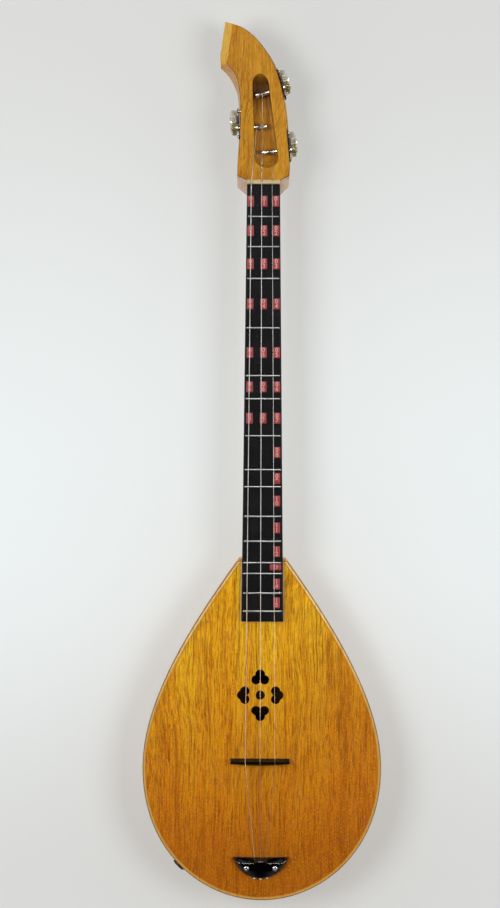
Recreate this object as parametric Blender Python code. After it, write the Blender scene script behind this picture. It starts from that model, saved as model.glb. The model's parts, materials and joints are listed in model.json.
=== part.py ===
"""A phin: a long-necked plucked lute with three strings and a carved drop-shaped body.

The instrument lies on its back. Z points up through the soundboard, Y towards the head and X to
the treble side. The origin is at the middle of its outer box, on the surface that it lies on.

Stations run along the strings: 0 at the front of the nut, growing towards the tail.
"""

import math

import bmesh
import bpy
from mathutils import Matrix, Vector

# Fits
GAP = 0.0003
FRET_FIT = 0.00015
STRING_ROOM = 0.0005

# Strings and frets
SCALE_LENGTH = 0.569
BRIDGE_SETBACK = 0.0086
STRING_RADII = (0.0004, 0.0003, 0.0002)
STRING_LINE_X = -0.0018
NUT_SPACING = 0.0104
BRIDGE_SPACING = 0.0148
TAIL_SPACING = 0.00625
BALL_RADIUS = 0.0015
BALL_LENGTH = 0.0030
BALL_SINK = 0.0017
BALL_EDGE = 0.00045

# The frets, each as half-tones above the open string, as the maker set them by ear
FRET_STEPS = (
    1.02, 2.02, 3.14, 5.04, 7.10, 8.19, 10.10, 12.05, 13.12, 15.15, 17.07, 18.91, 19.92, 21.91, 23.98,
)

# Body, carved from one block
BODY_HALF_WIDTH = 0.1194
BODY_DEPTH = 0.058
HEEL_STATION = 0.3745
HEEL_HALF_WIDTH = 0.0236
WIDEST_STATION = 0.5836
TAIL_REACH = 0.1325
HEEL_ANGLE = math.radians(35.5)
HEEL_HANDLE = 0.090
SIDE_HANDLE = 0.065
TAIL_SIDE_HANDLE = 0.0863
TAIL_END_HANDLE = 0.057
BACK_ROUND_RISE = 0.015
BACK_ROUND_INSET = 0.0085
RIM_ROUND = 0.0012
RIM_WIDTH = 0.0035
WALL = 0.012
BACK_THICKNESS = 0.010
NECK_BLOCK_LENGTH = 0.062
TAIL_BLOCK_LENGTH = 0.052
TAIL_BLOCK_HALF_WIDTH = 0.042

# Soundboard, rosette and braces
BOARD_THICKNESS = 0.003
ROSETTE_STATION = 0.5110
ROSETTE_HOLE_RADIUS = 0.00465
LOBE_DISTANCE_ALONG = 0.0211
LOBE_DISTANCE_ACROSS = 0.0184
LOBE_RADIUS = 0.0048
SIDE_LOBE_DISTANCE = 0.0154
SIDE_LOBE_OFFSET = 0.0042
SIDE_LOBE_RADIUS = 0.0047
UPPER_BRACE_STATION = 0.462
LOWER_BRACE_STATION = 0.556
BRACE_WIDTH = 0.009
BRACE_HEIGHT = 0.014
BRACE_END_HEIGHT = 0.005
BRACE_END_RUN = 0.018
BRACE_END_ROOM = 0.006

# Neck and fretboard
NECK_DEPTH = 0.0215
NECK_SIDE = 0.005
HEEL_DEPTH = 0.034
HEEL_SWELL = 0.062
FRETBOARD_START_WIDTH = 0.033
FRETBOARD_END_WIDTH = 0.042
FRETBOARD_OVERHANG = 0.0104
FRETBOARD_THICKNESS = 0.006
FRETBOARD_CHAMFER = 0.0012
FRET_CROWN_WIDTH = 0.002
FRET_CROWN_HEIGHT = 0.001
FRET_TANG_WIDTH = 0.0006
FRET_TANG_DEPTH = 0.0022
FRET_END_SETBACK = 0.0015
HEEL_TENON_WIDTH = 0.022
HEEL_TENON_HEIGHT = 0.012
HEEL_TENON_LENGTH = 0.045
HEAD_TENON_WIDTH = 0.011
HEAD_TENON_HEIGHT = 0.0042
HEAD_TENON_LENGTH = 0.030
TENON_FLOOR = 0.0014
TENON_ROOT = 0.0225

# Nut and bridge
NUT_THICKNESS = 0.0044
NUT_RISE = 0.0024
NUT_CREST = 0.0015
NUT_FALL = 0.0015
NUT_NOTCH_FLOOR = 0.0015
BRIDGE_LENGTH = 0.0589
BRIDGE_HEIGHT = 0.0130
BRIDGE_END_HEIGHT = 0.0095
BRIDGE_FRONT_RUN = 0.0034
BRIDGE_BACK_RUN = 0.0022
BRIDGE_BELLY = 0.0019
BRIDGE_TOP_WIDTH = 0.0026
BRIDGE_NOTCH_DEPTH = 0.0012

# Tailpiece
TAILPIECE_X = -0.0009
TAILPIECE_STATION = 0.6724
TAILPIECE_LENGTH = 0.0561
TAILPIECE_DROP = 0.0213
TAILPIECE_HOLLOW = 0.0004
TAILPIECE_FRONT_HEIGHT = 0.0024
TAILPIECE_BACK_HEIGHT = 0.0046
TAILPIECE_RIDGE_HEIGHT = 0.0092
TAILPIECE_RIDGE_RUN = 0.0056
TAILPIECE_RIDGE_SHARE = 0.5
TAILPIECE_BULGE_SHARE = 0.62
TAILPIECE_TIP_SHARE = 0.6
TAILPIECE_HUMP = 0.0022
TAILPIECE_HUMP_HALF_WIDTH = 0.0085
TAIL_STRING_HEIGHT = 0.0022
TAIL_STRING_EXIT = 0.001
TAIL_SCREW_SPACING = 0.0286
TAIL_SCREW_SETBACK = 0.0110
TAIL_SCREW_HEAD_RADIUS = 0.0028
TAIL_SCREW_RADIUS = 0.0013
TAIL_SCREW_LENGTH = 0.018
TAIL_SCREW_SINK = 0.00084

# Head. A corner is a pair of places, on the front face and on the back, each as (x, station).
HEAD_LENGTH = 0.1610
HEAD_DEPTH = 0.024
HEAD_TIP_RAKE = 0.0058
JOINT_LEAN = 0.0134
HEAD_TIP = ((-0.0318, -HEAD_LENGTH), (-0.0391, -HEAD_LENGTH - HEAD_TIP_RAKE))
HEAD_CROWN = ((0.0152, -0.1074), (0.0166, -0.1115))
HEAD_RIGHT_JAW = ((0.0262, -0.0194), (0.0270, -0.0174))
HEAD_RIGHT_SHOULDER = ((0.0255, -0.0092), (0.0255, -0.0004))
HEAD_LEFT_SHOULDER = ((-0.0263, -0.0092), (-0.0264, 0.0002))
HEAD_LEFT_CHEEK = ((-0.0235, -0.0774), (-0.0251, -0.0826))
HEAD_THROAT = ((-0.0350, -0.1186), (-0.0432, -0.1195))
HEAD_HORN = ((-0.0372, -0.1215), (-0.0438, -0.1322))

# Turns of the head's outline: direction at the start, its pull, direction at the end, its pull
CREST_TURN = (math.radians(9.6), 0.302, math.radians(72.8), 0.327)
RIGHT_CHEEK_TURN = (math.radians(74.7), 0.345, math.radians(88.2), 0.362)
LEFT_CHEEK_TURN = (math.radians(-90), 0.389, math.radians(-93), 0.389)
THROAT_TURN = (math.radians(-90.6), 0.334, math.radians(-142.5), 0.314)

# String slot in the head
SLOT_START = -0.1106
SLOT_END = -0.0174
SLOT_START_LEFT = -0.0113
SLOT_END_LEFT = -0.0086
SLOT_START_WIDTH = 0.0148
SLOT_END_WIDTH = 0.0243
SLOT_DEPTH = 0.014
SLOT_START_RUN = 0.0096
SLOT_END_RUN = 0.0100
SLOT_RAMP = 0.018
SLOT_FILLET = 0.003
SLOT_FILLET_SHARE = 0.6
SLOT_TIP_SHARE = 0.05

# Tuners, each as (side, seat x, station, tilt towards the tip of the head)
TUNERS = {
    "upper": (1, 0.0181, -0.0970, math.radians(15.6)),
    "left": (-1, 0.0239, -0.0571, math.radians(-3.4)),
    "lower": (1, 0.0249, -0.0349, math.radians(5.3)),
}
# For each string, its tuner and where it lies across the instrument at the post
STRING_ENDS = (("left", -0.0068), ("upper", -0.0012), ("lower", 0.0097))
POST_DROP = 0.008
POST_RADIUS = 0.0029
POST_WAIST_RADIUS = 0.0024
POST_REACH = 0.0275
POST_KNOB_LENGTH = 0.0028
POST_WAIST_LENGTH = 0.011
POST_WAIST_SLOPE = 0.00145
POST_BEVEL = 0.0006
POST_COLLAR_RADIUS = 0.0042
POST_TANG_RADIUS = 0.0024
POST_HOLE_RADIUS = 0.0008
GEAR_MODULE = 0.00075
GEAR_TEETH = 15
GEAR_WIDTH = 0.004
TOOTH_THICKNESS = 0.00095
PRESSURE_SLOPE = math.tan(math.radians(20))
WORM_PITCH_RADIUS = 0.0032
WORM_SHAFT_RADIUS = 0.0016
PLATE_LENGTH = 0.032
PLATE_WIDTH = 0.0105
PLATE_THICKNESS = 0.001
PLATE_CORNER = 0.004
PLATE_POST_OFFSET = 0.0042
LUG_HALF_WIDTH = 0.0034
SEAT_ROOM = 0.0005
MOUNT_SCREW_INSET = 0.0032
MOUNT_SCREW_HEAD_RADIUS = 0.0022
MOUNT_SCREW_RADIUS = 0.00105
MOUNT_SCREW_LENGTH = 0.009
GEAR_SCREW_HEAD_RADIUS = 0.0031
GEAR_SCREW_RADIUS = 0.0011
GEAR_SCREW_LENGTH = 0.0045
BUTTON_CLEARANCE = 0.0008
SHAFT_IN_BUTTON = 0.0085
BUTTON_LENGTH = 0.0155
BUTTON_HALF_WIDTH = 0.0130
BUTTON_HALF_THICKNESS = 0.00425
BUTTON_NECK_RADIUS = 0.0032
BUTTON_NECK_TURN = math.radians(21.6)
BUTTON_TIP_TURN = math.radians(165.6)
BUTTON_FULLNESS = 0.8

# Screws. The shares are of a screw's own head radius, head height or shank radius.
SCREW_HEAD_HEIGHT = 0.0014
SCREW_DOME_SHARES = ((1.0, 0.35), (0.85, 0.75), (0.5, 1.0))
SCREW_POINT_SHARE = 0.2
RECESS_REACH_SHARE = 0.62
RECESS_WIDTH_SHARE = 0.14
RECESS_FLOOR_SHARE = 0.4

# Pickup
JACK_STATION = 0.6825
JACK_HEIGHT = 0.030
JACK_WALL = 0.008
JACK_RADIUS = 0.0047
JACK_BORE_RADIUS = 0.0032
JACK_FLANGE_RADIUS = 0.0075
JACK_FLANGE_THICKNESS = 0.0025
JACK_CASE_STEP = 0.0015
JACK_CLEARANCE = 0.0009
JACK_LENGTH = 0.026
JACK_SPOT_DEPTH = 0.0008
JACK_WASHER_RADIUS = 0.0065
JACK_WASHER_THICKNESS = 0.0006
JACK_NUT_RADIUS = 0.0058
JACK_NUT_THICKNESS = 0.0022
PIEZO_RADIUS = 0.0135
PIEZO_THICKNESS = 0.0005
PIEZO_X = -0.030
PIEZO_STATION = 0.600
LEAD_RADIUS = 0.0011
LEAD_DISC_PULL = (0.012, -0.035, -0.004)
LEAD_JACK_PULL = (0.0, 0.0, -0.035)

# Fineness of curves
SIDE_STEPS = 44
ROUND_STEPS = 24
SMALL_STEPS = 16
EDGE_STEPS = 6
ARCH_STEPS = 8
CREST_STEPS = 14
CHEEK_STEPS = 8
THROAT_STEPS = 10
SLOT_STEPS = 24
BRIDGE_STEPS = 12
TAILPIECE_STEPS = 20
BUTTON_STEPS = 10
LEAD_STEPS = 20

# Worked out from the sizes above
TAIL_STATION = WIDEST_STATION + TAIL_REACH
FRETBOARD_LENGTH = SCALE_LENGTH * (1 - 2 ** (-FRET_STEPS[-1] / 12)) + FRETBOARD_OVERHANG
NUT_Y = (TAIL_STATION - HEAD_LENGTH - HEAD_TIP_RAKE) / 2
BRIDGE_STATION = SCALE_LENGTH + BRIDGE_SETBACK
BODY_TOP = BODY_DEPTH
BOARD_UNDERSIDE = BODY_TOP - BOARD_THICKNESS
LEDGE = BOARD_UNDERSIDE - GAP
FRETBOARD_BASE = BODY_TOP + GAP
FRETBOARD_TOP = FRETBOARD_BASE + FRETBOARD_THICKNESS
HEAD_FACE = BODY_TOP
HEAD_BACK = HEAD_FACE - HEAD_DEPTH
JOINT_FRONT = -(NUT_THICKNESS + GAP)
POST_HEIGHT = HEAD_FACE - POST_DROP
GEAR_PITCH_RADIUS = GEAR_MODULE * GEAR_TEETH / 2
GEAR_RADIUS = GEAR_PITCH_RADIUS + GEAR_MODULE
GEAR_ROOT_RADIUS = GEAR_PITCH_RADIUS - 1.25 * GEAR_MODULE
WORM_LEAD = math.pi * GEAR_MODULE
WORM_RADIUS = WORM_PITCH_RADIUS + GEAR_MODULE
WORM_ROOT_RADIUS = WORM_PITCH_RADIUS - 1.25 * GEAR_MODULE
CENTRE_DISTANCE = GEAR_PITCH_RADIUS + WORM_PITCH_RADIUS
PLATE_FACE = GAP + PLATE_THICKNESS
GEAR_MIDDLE = PLATE_FACE + GAP + WORM_RADIUS
LUG_FACE = PLATE_WIDTH / 2
SHAFT_NECK = POST_HEIGHT - LUG_FACE - HEAD_BACK + BUTTON_CLEARANCE


def y_at(station):
    """The Y of a station."""
    return NUT_Y - station


def place(x, station, z):
    """The point at a distance from the centre line, a station and a height."""
    return Vector((x, y_at(station), z))


def clear_scene():
    """Removes whatever the scene holds."""
    for thing in list(bpy.data.objects):
        bpy.data.objects.remove(thing)


def make_material(name, colour, roughness, metallic=0.0):
    """A plain material in one colour."""
    material = bpy.data.materials.new(name)
    material.use_nodes = True
    shader = material.node_tree.nodes["Principled BSDF"]
    shader.inputs["Base Color"].default_value = (*colour, 1.0)
    shader.inputs["Roughness"].default_value = roughness
    shader.inputs["Metallic"].default_value = metallic
    material.diffuse_color = (*colour, 1.0)
    return material


def make_materials():
    """Every material, by name."""
    return {
        "body_wood": make_material("body_wood", (0.50, 0.24, 0.05), 0.32),
        "top_wood": make_material("top_wood", (0.58, 0.29, 0.05), 0.3),
        "neck_wood": make_material("neck_wood", (0.55, 0.27, 0.06), 0.34),
        "brace_wood": make_material("brace_wood", (0.62, 0.47, 0.28), 0.7),
        "board_black": make_material("board_black", (0.012, 0.012, 0.013), 0.25),
        "fret_metal": make_material("fret_metal", (0.72, 0.70, 0.64), 0.3, 1.0),
        "bone": make_material("bone", (0.78, 0.68, 0.46), 0.4),
        "bridge_wood": make_material("bridge_wood", (0.03, 0.014, 0.01), 0.45),
        "tail_black": make_material("tail_black", (0.01, 0.01, 0.012), 0.15),
        "screw_steel": make_material("screw_steel", (0.72, 0.72, 0.72), 0.25, 1.0),
        "string_steel": make_material("string_steel", (0.75, 0.72, 0.65), 0.3, 1.0),
        "nickel": make_material("nickel", (0.62, 0.60, 0.56), 0.25, 1.0),
        "brass": make_material("brass", (0.72, 0.55, 0.25), 0.3, 1.0),
        "pearl": make_material("pearl", (0.62, 0.62, 0.55), 0.3),
        "jack_black": make_material("jack_black", (0.02, 0.02, 0.02), 0.35),
        "lead_jacket": make_material("lead_jacket", (0.03, 0.03, 0.03), 0.5),
    }


def show(name, mesh, material, frame=None, matrix=None):
    """Puts a mesh in the scene as one named piece, in its frame if it has one."""
    mesh.name = name
    mesh.materials.append(material)
    mesh.shade_smooth()
    mesh.set_sharp_from_angle(angle=math.radians(35))
    piece = bpy.data.objects.new(name, mesh)
    bpy.context.scene.collection.objects.link(piece)
    piece.parent = frame
    if matrix is not None:
        piece.matrix_local = matrix
    return piece


def hidden(name, mesh, frame=None, matrix=None):
    """Puts a mesh in the scene as a cutter or a part of a union, which isn't a piece itself."""
    tool = bpy.data.objects.new(name, mesh)
    bpy.context.scene.collection.objects.link(tool)
    tool.parent = frame
    if matrix is not None:
        tool.matrix_local = matrix
    tool.hide_render = True
    tool.display_type = "WIRE"
    return tool


def make_frame(name, matrix):
    """An empty that carries pieces in its own axes."""
    frame = bpy.data.objects.new(name, None)
    bpy.context.scene.collection.objects.link(frame)
    frame.empty_display_size = 0.01
    frame.matrix_world = matrix
    return frame


def combine(piece, tool, operation="DIFFERENCE"):
    """Cuts a tool out of a piece, or joins it on."""
    boolean = piece.modifiers.new(tool.name, "BOOLEAN")
    boolean.operation = operation
    boolean.solver = "EXACT"
    boolean.object = tool


def finished(mesh_maker):
    """Turns a bmesh into a mesh with its faces pointing out."""
    bmesh.ops.recalc_face_normals(mesh_maker, faces=mesh_maker.faces)
    mesh = bpy.data.meshes.new("shape")
    mesh_maker.to_mesh(mesh)
    mesh_maker.free()
    return mesh


def loft(rings, closed=False):
    """A solid through rings of points, capped at its ends, or joined end to end if closed."""
    shape = bmesh.new()
    rows = [[shape.verts.new(point) for point in ring] for ring in rings]
    pairs = list(zip(rows, rows[1:]))
    if closed:
        pairs.append((rows[-1], rows[0]))
    else:
        shape.faces.new(rows[0])
        shape.faces.new(rows[-1])
    for lower, upper in pairs:
        for i, corner in enumerate(lower):
            j = (i + 1) % len(lower)
            shape.faces.new((corner, lower[j], upper[j], upper[i]))
    return finished(shape)


def prism(outline, low, high):
    """A flat outline of (x, y) points drawn up between two heights."""
    return loft([[Vector((x, y, z)) for x, y in outline] for z in (low, high)])


def box(low, high):
    """A box between two corners."""
    outline = ((low[0], low[1]), (high[0], low[1]), (high[0], high[1]), (low[0], high[1]))
    return prism(outline, low[2], high[2])


def circle(radius, steps):
    """Points round a circle, as (x, y)."""
    turns = [2 * math.pi * i / steps for i in range(steps)]
    return [(radius * math.cos(turn), radius * math.sin(turn)) for turn in turns]


def turned(profile, closed=False, steps=ROUND_STEPS):
    """A turned solid about Z from (radius, height) pairs, closed on itself where it has a bore."""
    rings = [[Vector((x, y, height)) for x, y in circle(radius, steps)] for radius, height in profile]
    return loft(rings, closed)


def cylinder(radius, low, high, steps=ROUND_STEPS):
    """A cylinder about Z between two heights."""
    return turned(((radius, low), (radius, high)), steps=steps)


def aimed(origin, axis):
    """A placement whose Z runs along an axis."""
    return Matrix.Translation(origin) @ Vector(axis).to_track_quat("Z", "Y").to_matrix().to_4x4()


def bezier(start, first, second, end, steps):
    """Points along a cubic curve, both ends included, in as many numbers as its corners have."""
    corners = (start, first, second, end)
    points = []
    for i in range(steps + 1):
        t = i / steps
        weights = ((1 - t) ** 3, 3 * t * (1 - t) ** 2, 3 * t * t * (1 - t), t**3)
        points.append(tuple(sum(w * c for w, c in zip(weights, places)) for places in zip(*corners)))
    return points


def swept(start, end, turn, steps):
    """A cubic curve given by its ends and its turn: each end's direction and how far it pulls."""
    start_angle, start_pull, end_angle, end_pull = turn
    chord = math.dist(start, end)
    first = (
        start[0] + chord * start_pull * math.cos(start_angle),
        start[1] + chord * start_pull * math.sin(start_angle),
    )
    second = (
        end[0] - chord * end_pull * math.cos(end_angle),
        end[1] - chord * end_pull * math.sin(end_angle),
    )
    return bezier(start, first, second, end, steps)


def past(points, station):
    """Cuts a run of (x, station) points at a station and keeps the part after it."""
    kept = [point for point in points if point[1] > station]
    for (x0, s0), (x1, s1) in zip(points, points[1:]):
        if s0 <= station < s1:
            return [(x0 + (x1 - x0) * (station - s0) / (s1 - s0), station), *kept]
    return kept


def evenly(points, count):
    """The same run with a fixed count of points, spaced evenly along it."""
    lengths = [0.0]
    for a, b in zip(points, points[1:]):
        lengths.append(lengths[-1] + math.dist(a, b))
    spaced, k = [], 0
    for i in range(count):
        target = lengths[-1] * i / (count - 1)
        while k < len(points) - 2 and lengths[k + 1] < target:
            k += 1
        share = (target - lengths[k]) / (lengths[k + 1] - lengths[k])
        share = min(max(share, 0.0), 1.0)
        spaced.append(tuple(a + (b - a) * share for a, b in zip(points[k], points[k + 1])))
    return spaced


def neck_half_width(station):
    """Half the width of the fretboard, and of the neck under it."""
    share = station / FRETBOARD_LENGTH
    return (FRETBOARD_START_WIDTH + (FRETBOARD_END_WIDTH - FRETBOARD_START_WIDTH) * share) / 2


def body_side(inset, start=0.0):
    """The treble side of the body's outline, drawn in by an inset, from the heel to the tail."""
    heel = (HEEL_HALF_WIDTH, HEEL_STATION)
    widest = (BODY_HALF_WIDTH, WIDEST_STATION)
    upper = bezier(
        heel,
        (heel[0] + HEEL_HANDLE * math.sin(HEEL_ANGLE), heel[1] + HEEL_HANDLE * math.cos(HEEL_ANGLE)),
        (widest[0], widest[1] - SIDE_HANDLE),
        widest,
        SIDE_STEPS * 2,
    )
    lower = bezier(
        widest,
        (widest[0], widest[1] + TAIL_SIDE_HANDLE),
        (TAIL_END_HANDLE, TAIL_STATION),
        (0.0, TAIL_STATION),
        SIDE_STEPS * 2,
    )
    line = upper + lower[1:]
    drawn = []
    for i, point in enumerate(line):
        before, after = line[max(i - 1, 0)], line[min(i + 1, len(line) - 1)]
        run = math.dist(before, after)
        across, along = (after[0] - before[0]) / run, (after[1] - before[1]) / run
        if i == len(line) - 1:
            across, along = -1.0, 0.0
        drawn.append((point[0] - inset * along, point[1] + inset * across))
    return evenly(past(drawn, max(HEEL_STATION + inset, start)), SIDE_STEPS)


def body_ring(inset, z, start=0.0):
    """The body's whole outline at a height, drawn in by an inset."""
    side = body_side(inset, start)
    mirrored = [(-x, station) for x, station in reversed(side[:-1])]
    return [place(x, station, z) for x, station in side + mirrored]


def half_width_at(inset, station):
    """Half the body's width at a station, drawn in by an inset, and the outline's run there."""
    side = body_side(inset)
    for before, after in zip(side, side[1:]):
        if before[1] <= station <= after[1]:
            share = (station - before[1]) / (after[1] - before[1])
            run = (after[0] - before[0], after[1] - before[1])
            return before[0] + run[0] * share, run
    raise ValueError("the station lies past the body")


def wall_frame(station, z):
    """The placement on the bass side of the body whose Z points straight out of the wall."""
    half_width, (across, along) = half_width_at(0.0, station)
    return aimed(place(-half_width, station, z), (-along, across, 0.0))


def screw_hole(name, radius, depth, clear, frame=None, matrix=None):
    """A cutter for the hole that a screw of this radius drops into."""
    return hidden(name, cylinder(radius + GAP, -depth - GAP, clear, SMALL_STEPS), frame, matrix)


def add_screw(name, sizes, material, frame=None, matrix=None):
    """A cross-head screw whose head rests on the placement's ground and whose shank points down."""
    head_radius, radius, length = sizes
    height = SCREW_HEAD_HEIGHT
    profile = (
        (radius * SCREW_POINT_SHARE, -length),
        (radius, -length + radius * 2),
        (radius, 0.0),
        (head_radius, 0.0),
        *((head_radius * across, height * up) for across, up in SCREW_DOME_SHARES),
    )
    screw = show(name, turned(profile, steps=SMALL_STEPS), material, frame, matrix)
    long, wide = head_radius * RECESS_REACH_SHARE, head_radius * RECESS_WIDTH_SHARE
    quarter = ((long, -wide), (long, wide), (wide, wide))
    cross = []
    for k in range(4):
        turn = Matrix.Rotation(math.pi / 2 * k, 2)
        cross += [tuple(turn @ Vector(point)) for point in quarter]
    recess = prism(cross, height * RECESS_FLOOR_SHARE, height * 2)
    combine(screw, hidden(f"{name}_recess", recess, frame, matrix))


def tail_screw_places():
    """Where the two tailpiece screws stand: (name, x, station, seat height)."""
    station = TAILPIECE_STATION + TAIL_SCREW_SETBACK
    for name, side in (("bass", -1), ("treble", 1)):
        across = side * TAIL_SCREW_SPACING / 2
        seat = FRETBOARD_BASE + tailpiece_height(across, station) - TAIL_SCREW_SINK
        yield name, TAILPIECE_X + across, station, seat


def build_body(materials, tail_holes):
    """The carved bowl: round back edge, rim, ledge, hollow, neck block and tail block."""
    rings = []
    for i in range(EDGE_STEPS + 1):
        turn = math.pi / 2 * i / EDGE_STEPS
        inset = BACK_ROUND_INSET * (1 - math.sin(turn))
        rings.append(body_ring(inset, BACK_ROUND_RISE * (1 - math.cos(turn))))
    for turn in (0.0, math.pi / 4, math.pi / 2):
        inset = RIM_ROUND * (1 - math.cos(turn))
        rings.append(body_ring(inset, BODY_TOP - RIM_ROUND * (1 - math.sin(turn))))
    bowl = show("body_bowl", loft(rings), materials["body_wood"])

    above = BODY_TOP + WALL
    recess = loft([body_ring(RIM_WIDTH, z) for z in (LEDGE, above)])
    combine(bowl, hidden("soundboard_recess", recess))

    block_end = HEEL_STATION + NECK_BLOCK_LENGTH
    hollow = hidden("hollow", loft([body_ring(WALL, z, block_end) for z in (BACK_THICKNESS, above)]))
    tail_block = box(
        place(-TAIL_BLOCK_HALF_WIDTH, TAIL_STATION + WALL, -WALL),
        place(TAIL_BLOCK_HALF_WIDTH, TAIL_STATION - TAIL_BLOCK_LENGTH, above + WALL),
    )
    combine(hollow, hidden("tail_block", tail_block))
    combine(bowl, hollow)

    low, high = heel_tenon_heights()
    half = HEEL_TENON_WIDTH / 2 + GAP
    mortise = box(
        place(-half, HEEL_STATION + HEEL_TENON_LENGTH + GAP, low - GAP),
        place(half, HEEL_STATION - WALL, high + GAP),
    )
    combine(bowl, hidden("heel_mortise", mortise))
    for hole in tail_holes:
        combine(bowl, hole)

    reach = JACK_LENGTH + WALL
    drilling = (
        (JACK_FLANGE_RADIUS + JACK_CLEARANCE, -reach),
        (JACK_FLANGE_RADIUS + JACK_CLEARANCE, -JACK_WALL),
        (JACK_RADIUS + GAP, -JACK_WALL),
        (JACK_RADIUS + GAP, -JACK_SPOT_DEPTH),
        (JACK_WASHER_RADIUS + GAP, -JACK_SPOT_DEPTH),
        (JACK_WASHER_RADIUS + GAP, WALL),
    )
    jack_place = wall_frame(JACK_STATION, JACK_HEIGHT)
    combine(bowl, hidden("jack_drilling", turned(drilling), matrix=jack_place))


def lobed_outline(distance, middle):
    """One sound hole about its own middle, pointing up Y: the outer edge of three drillings.

    The distances of the hole's outer drilling and of its middle are from the rosette's middle.
    """
    drillings = (
        (0.0, distance - middle, LOBE_RADIUS),
        (SIDE_LOBE_OFFSET, SIDE_LOBE_DISTANCE - middle, SIDE_LOBE_RADIUS),
        (-SIDE_LOBE_OFFSET, SIDE_LOBE_DISTANCE - middle, SIDE_LOBE_RADIUS),
    )
    outline = []
    for x, y in circle(1.0, ROUND_STEPS * 2):
        reach = 0.0
        for centre_x, centre_y, radius in drillings:
            ahead = x * centre_x + y * centre_y
            inside = radius**2 - centre_x**2 - centre_y**2 + ahead**2
            if inside > 0:
                reach = max(reach, ahead + math.sqrt(inside))
        outline.append((x * reach, y * reach))
    return outline


def build_soundboard(materials, tail_holes):
    """The flat soundboard, let into the rim, with its rosette of one round and four lobed holes."""
    rings = [body_ring(RIM_WIDTH + GAP, z) for z in (BOARD_UNDERSIDE, BODY_TOP)]
    board = show("soundboard", loft(rings), materials["top_wood"])
    low, high = BOARD_UNDERSIDE - WALL, BODY_TOP + WALL
    centre = place(STRING_LINE_X, ROSETTE_STATION, 0.0)
    round_hole = hidden("rosette_hole", cylinder(ROSETTE_HOLE_RADIUS, low, high))
    round_hole.location = centre
    combine(board, round_hole)
    for k in range(4):
        distance = LOBE_DISTANCE_ACROSS if k % 2 else LOBE_DISTANCE_ALONG
        middle = (distance + SIDE_LOBE_DISTANCE) / 2
        lobes = prism(lobed_outline(distance, middle), low, high)
        turn = Matrix.Rotation(math.pi / 2 * k, 4, "Z")
        matrix = Matrix.Translation(centre) @ turn @ Matrix.Translation((0.0, middle, 0.0))
        combine(board, hidden(f"rosette_lobes_{k + 1}", lobes, matrix=matrix))
    for hole in tail_holes:
        combine(board, hole)


def build_braces(materials):
    """Two bars across the underside of the soundboard, thinned towards their ends."""
    top = BOARD_UNDERSIDE - GAP
    stations = {"upper_brace": UPPER_BRACE_STATION, "lower_brace": LOWER_BRACE_STATION}
    for name, station in stations.items():
        reach = half_width_at(WALL, station)[0] - BRACE_END_ROOM
        sections = (
            (-reach, BRACE_END_HEIGHT),
            (-reach + BRACE_END_RUN, BRACE_HEIGHT),
            (reach - BRACE_END_RUN, BRACE_HEIGHT),
            (reach, BRACE_END_HEIGHT),
        )
        rings = []
        for x, height in sections:
            front, back = station - BRACE_WIDTH / 2, station + BRACE_WIDTH / 2
            corners = ((front, top), (back, top), (back, top - height), (front, top - height))
            rings.append([place(x, s, z) for s, z in corners])
        show(name, loft(rings), materials["brace_wood"])


def heel_tenon_heights():
    """The lower and upper face of the tenon at the body's end of the neck."""
    middle = BODY_TOP - HEEL_DEPTH / 2
    return middle - HEEL_TENON_HEIGHT / 2, middle + HEEL_TENON_HEIGHT / 2


def head_tenon_heights():
    """The lower and upper face of the tenon at the head's end, which lies under the string slot."""
    high = HEAD_FACE - SLOT_DEPTH - TENON_FLOOR - GAP
    return high - HEAD_TENON_HEIGHT, high


def joint_station(z):
    """The station of the slanting joint between head and neck at a height."""
    return JOINT_FRONT + JOINT_LEAN * (HEAD_FACE - z) / HEAD_DEPTH


def neck_depth(station):
    """The neck's depth, which swells into the heel."""
    share = (station - (HEEL_STATION - HEEL_SWELL)) / HEEL_SWELL
    share = min(max(share, 0.0), 1.0)
    return NECK_DEPTH + (HEEL_DEPTH - NECK_DEPTH) * share**2


def neck_section(station):
    """The neck's cross-section as (x, z): flat on top, short straight sides, round below."""
    half, depth = neck_half_width(station), neck_depth(station)
    low = BODY_TOP - NECK_SIDE
    section = [(half, BODY_TOP)]
    half_round = ROUND_STEPS // 2
    for i in range(half_round + 1):
        turn = math.pi * i / half_round
        section.append((half * math.cos(turn), low - (depth - NECK_SIDE) * math.sin(turn)))
    section.append((-half, BODY_TOP))
    return section


def build_neck(materials):
    """The neck, with a tenon into the head and one into the body's block."""
    rings = [[place(x, joint_station(z) + GAP, z) for x, z in neck_section(0.0)]]
    swell = [HEEL_STATION - HEEL_SWELL * (1 - i / EDGE_STEPS) for i in range(EDGE_STEPS)]
    for station in (JOINT_LEAN * 1.5, *swell, HEEL_STATION - GAP):
        rings.append([place(x, station, z) for x, z in neck_section(station)])
    neck = show("neck", loft(rings), materials["neck_wood"])

    low, high = head_tenon_heights()
    half = HEAD_TENON_WIDTH / 2
    tenon = box(place(-half, TENON_ROOT, low), place(half, -HEAD_TENON_LENGTH, high))
    combine(neck, hidden("head_tenon", tenon), "UNION")
    low, high = heel_tenon_heights()
    half = HEEL_TENON_WIDTH / 2
    tenon = box(
        place(-half, HEEL_STATION + HEEL_TENON_LENGTH, low),
        place(half, HEEL_STATION - TENON_ROOT, high),
    )
    combine(neck, hidden("heel_tenon", tenon), "UNION")


def fret_station(steps):
    """The station of the fret that is this many half-tones above the open string."""
    return SCALE_LENGTH * (1 - 2 ** (-steps / 12))


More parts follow.
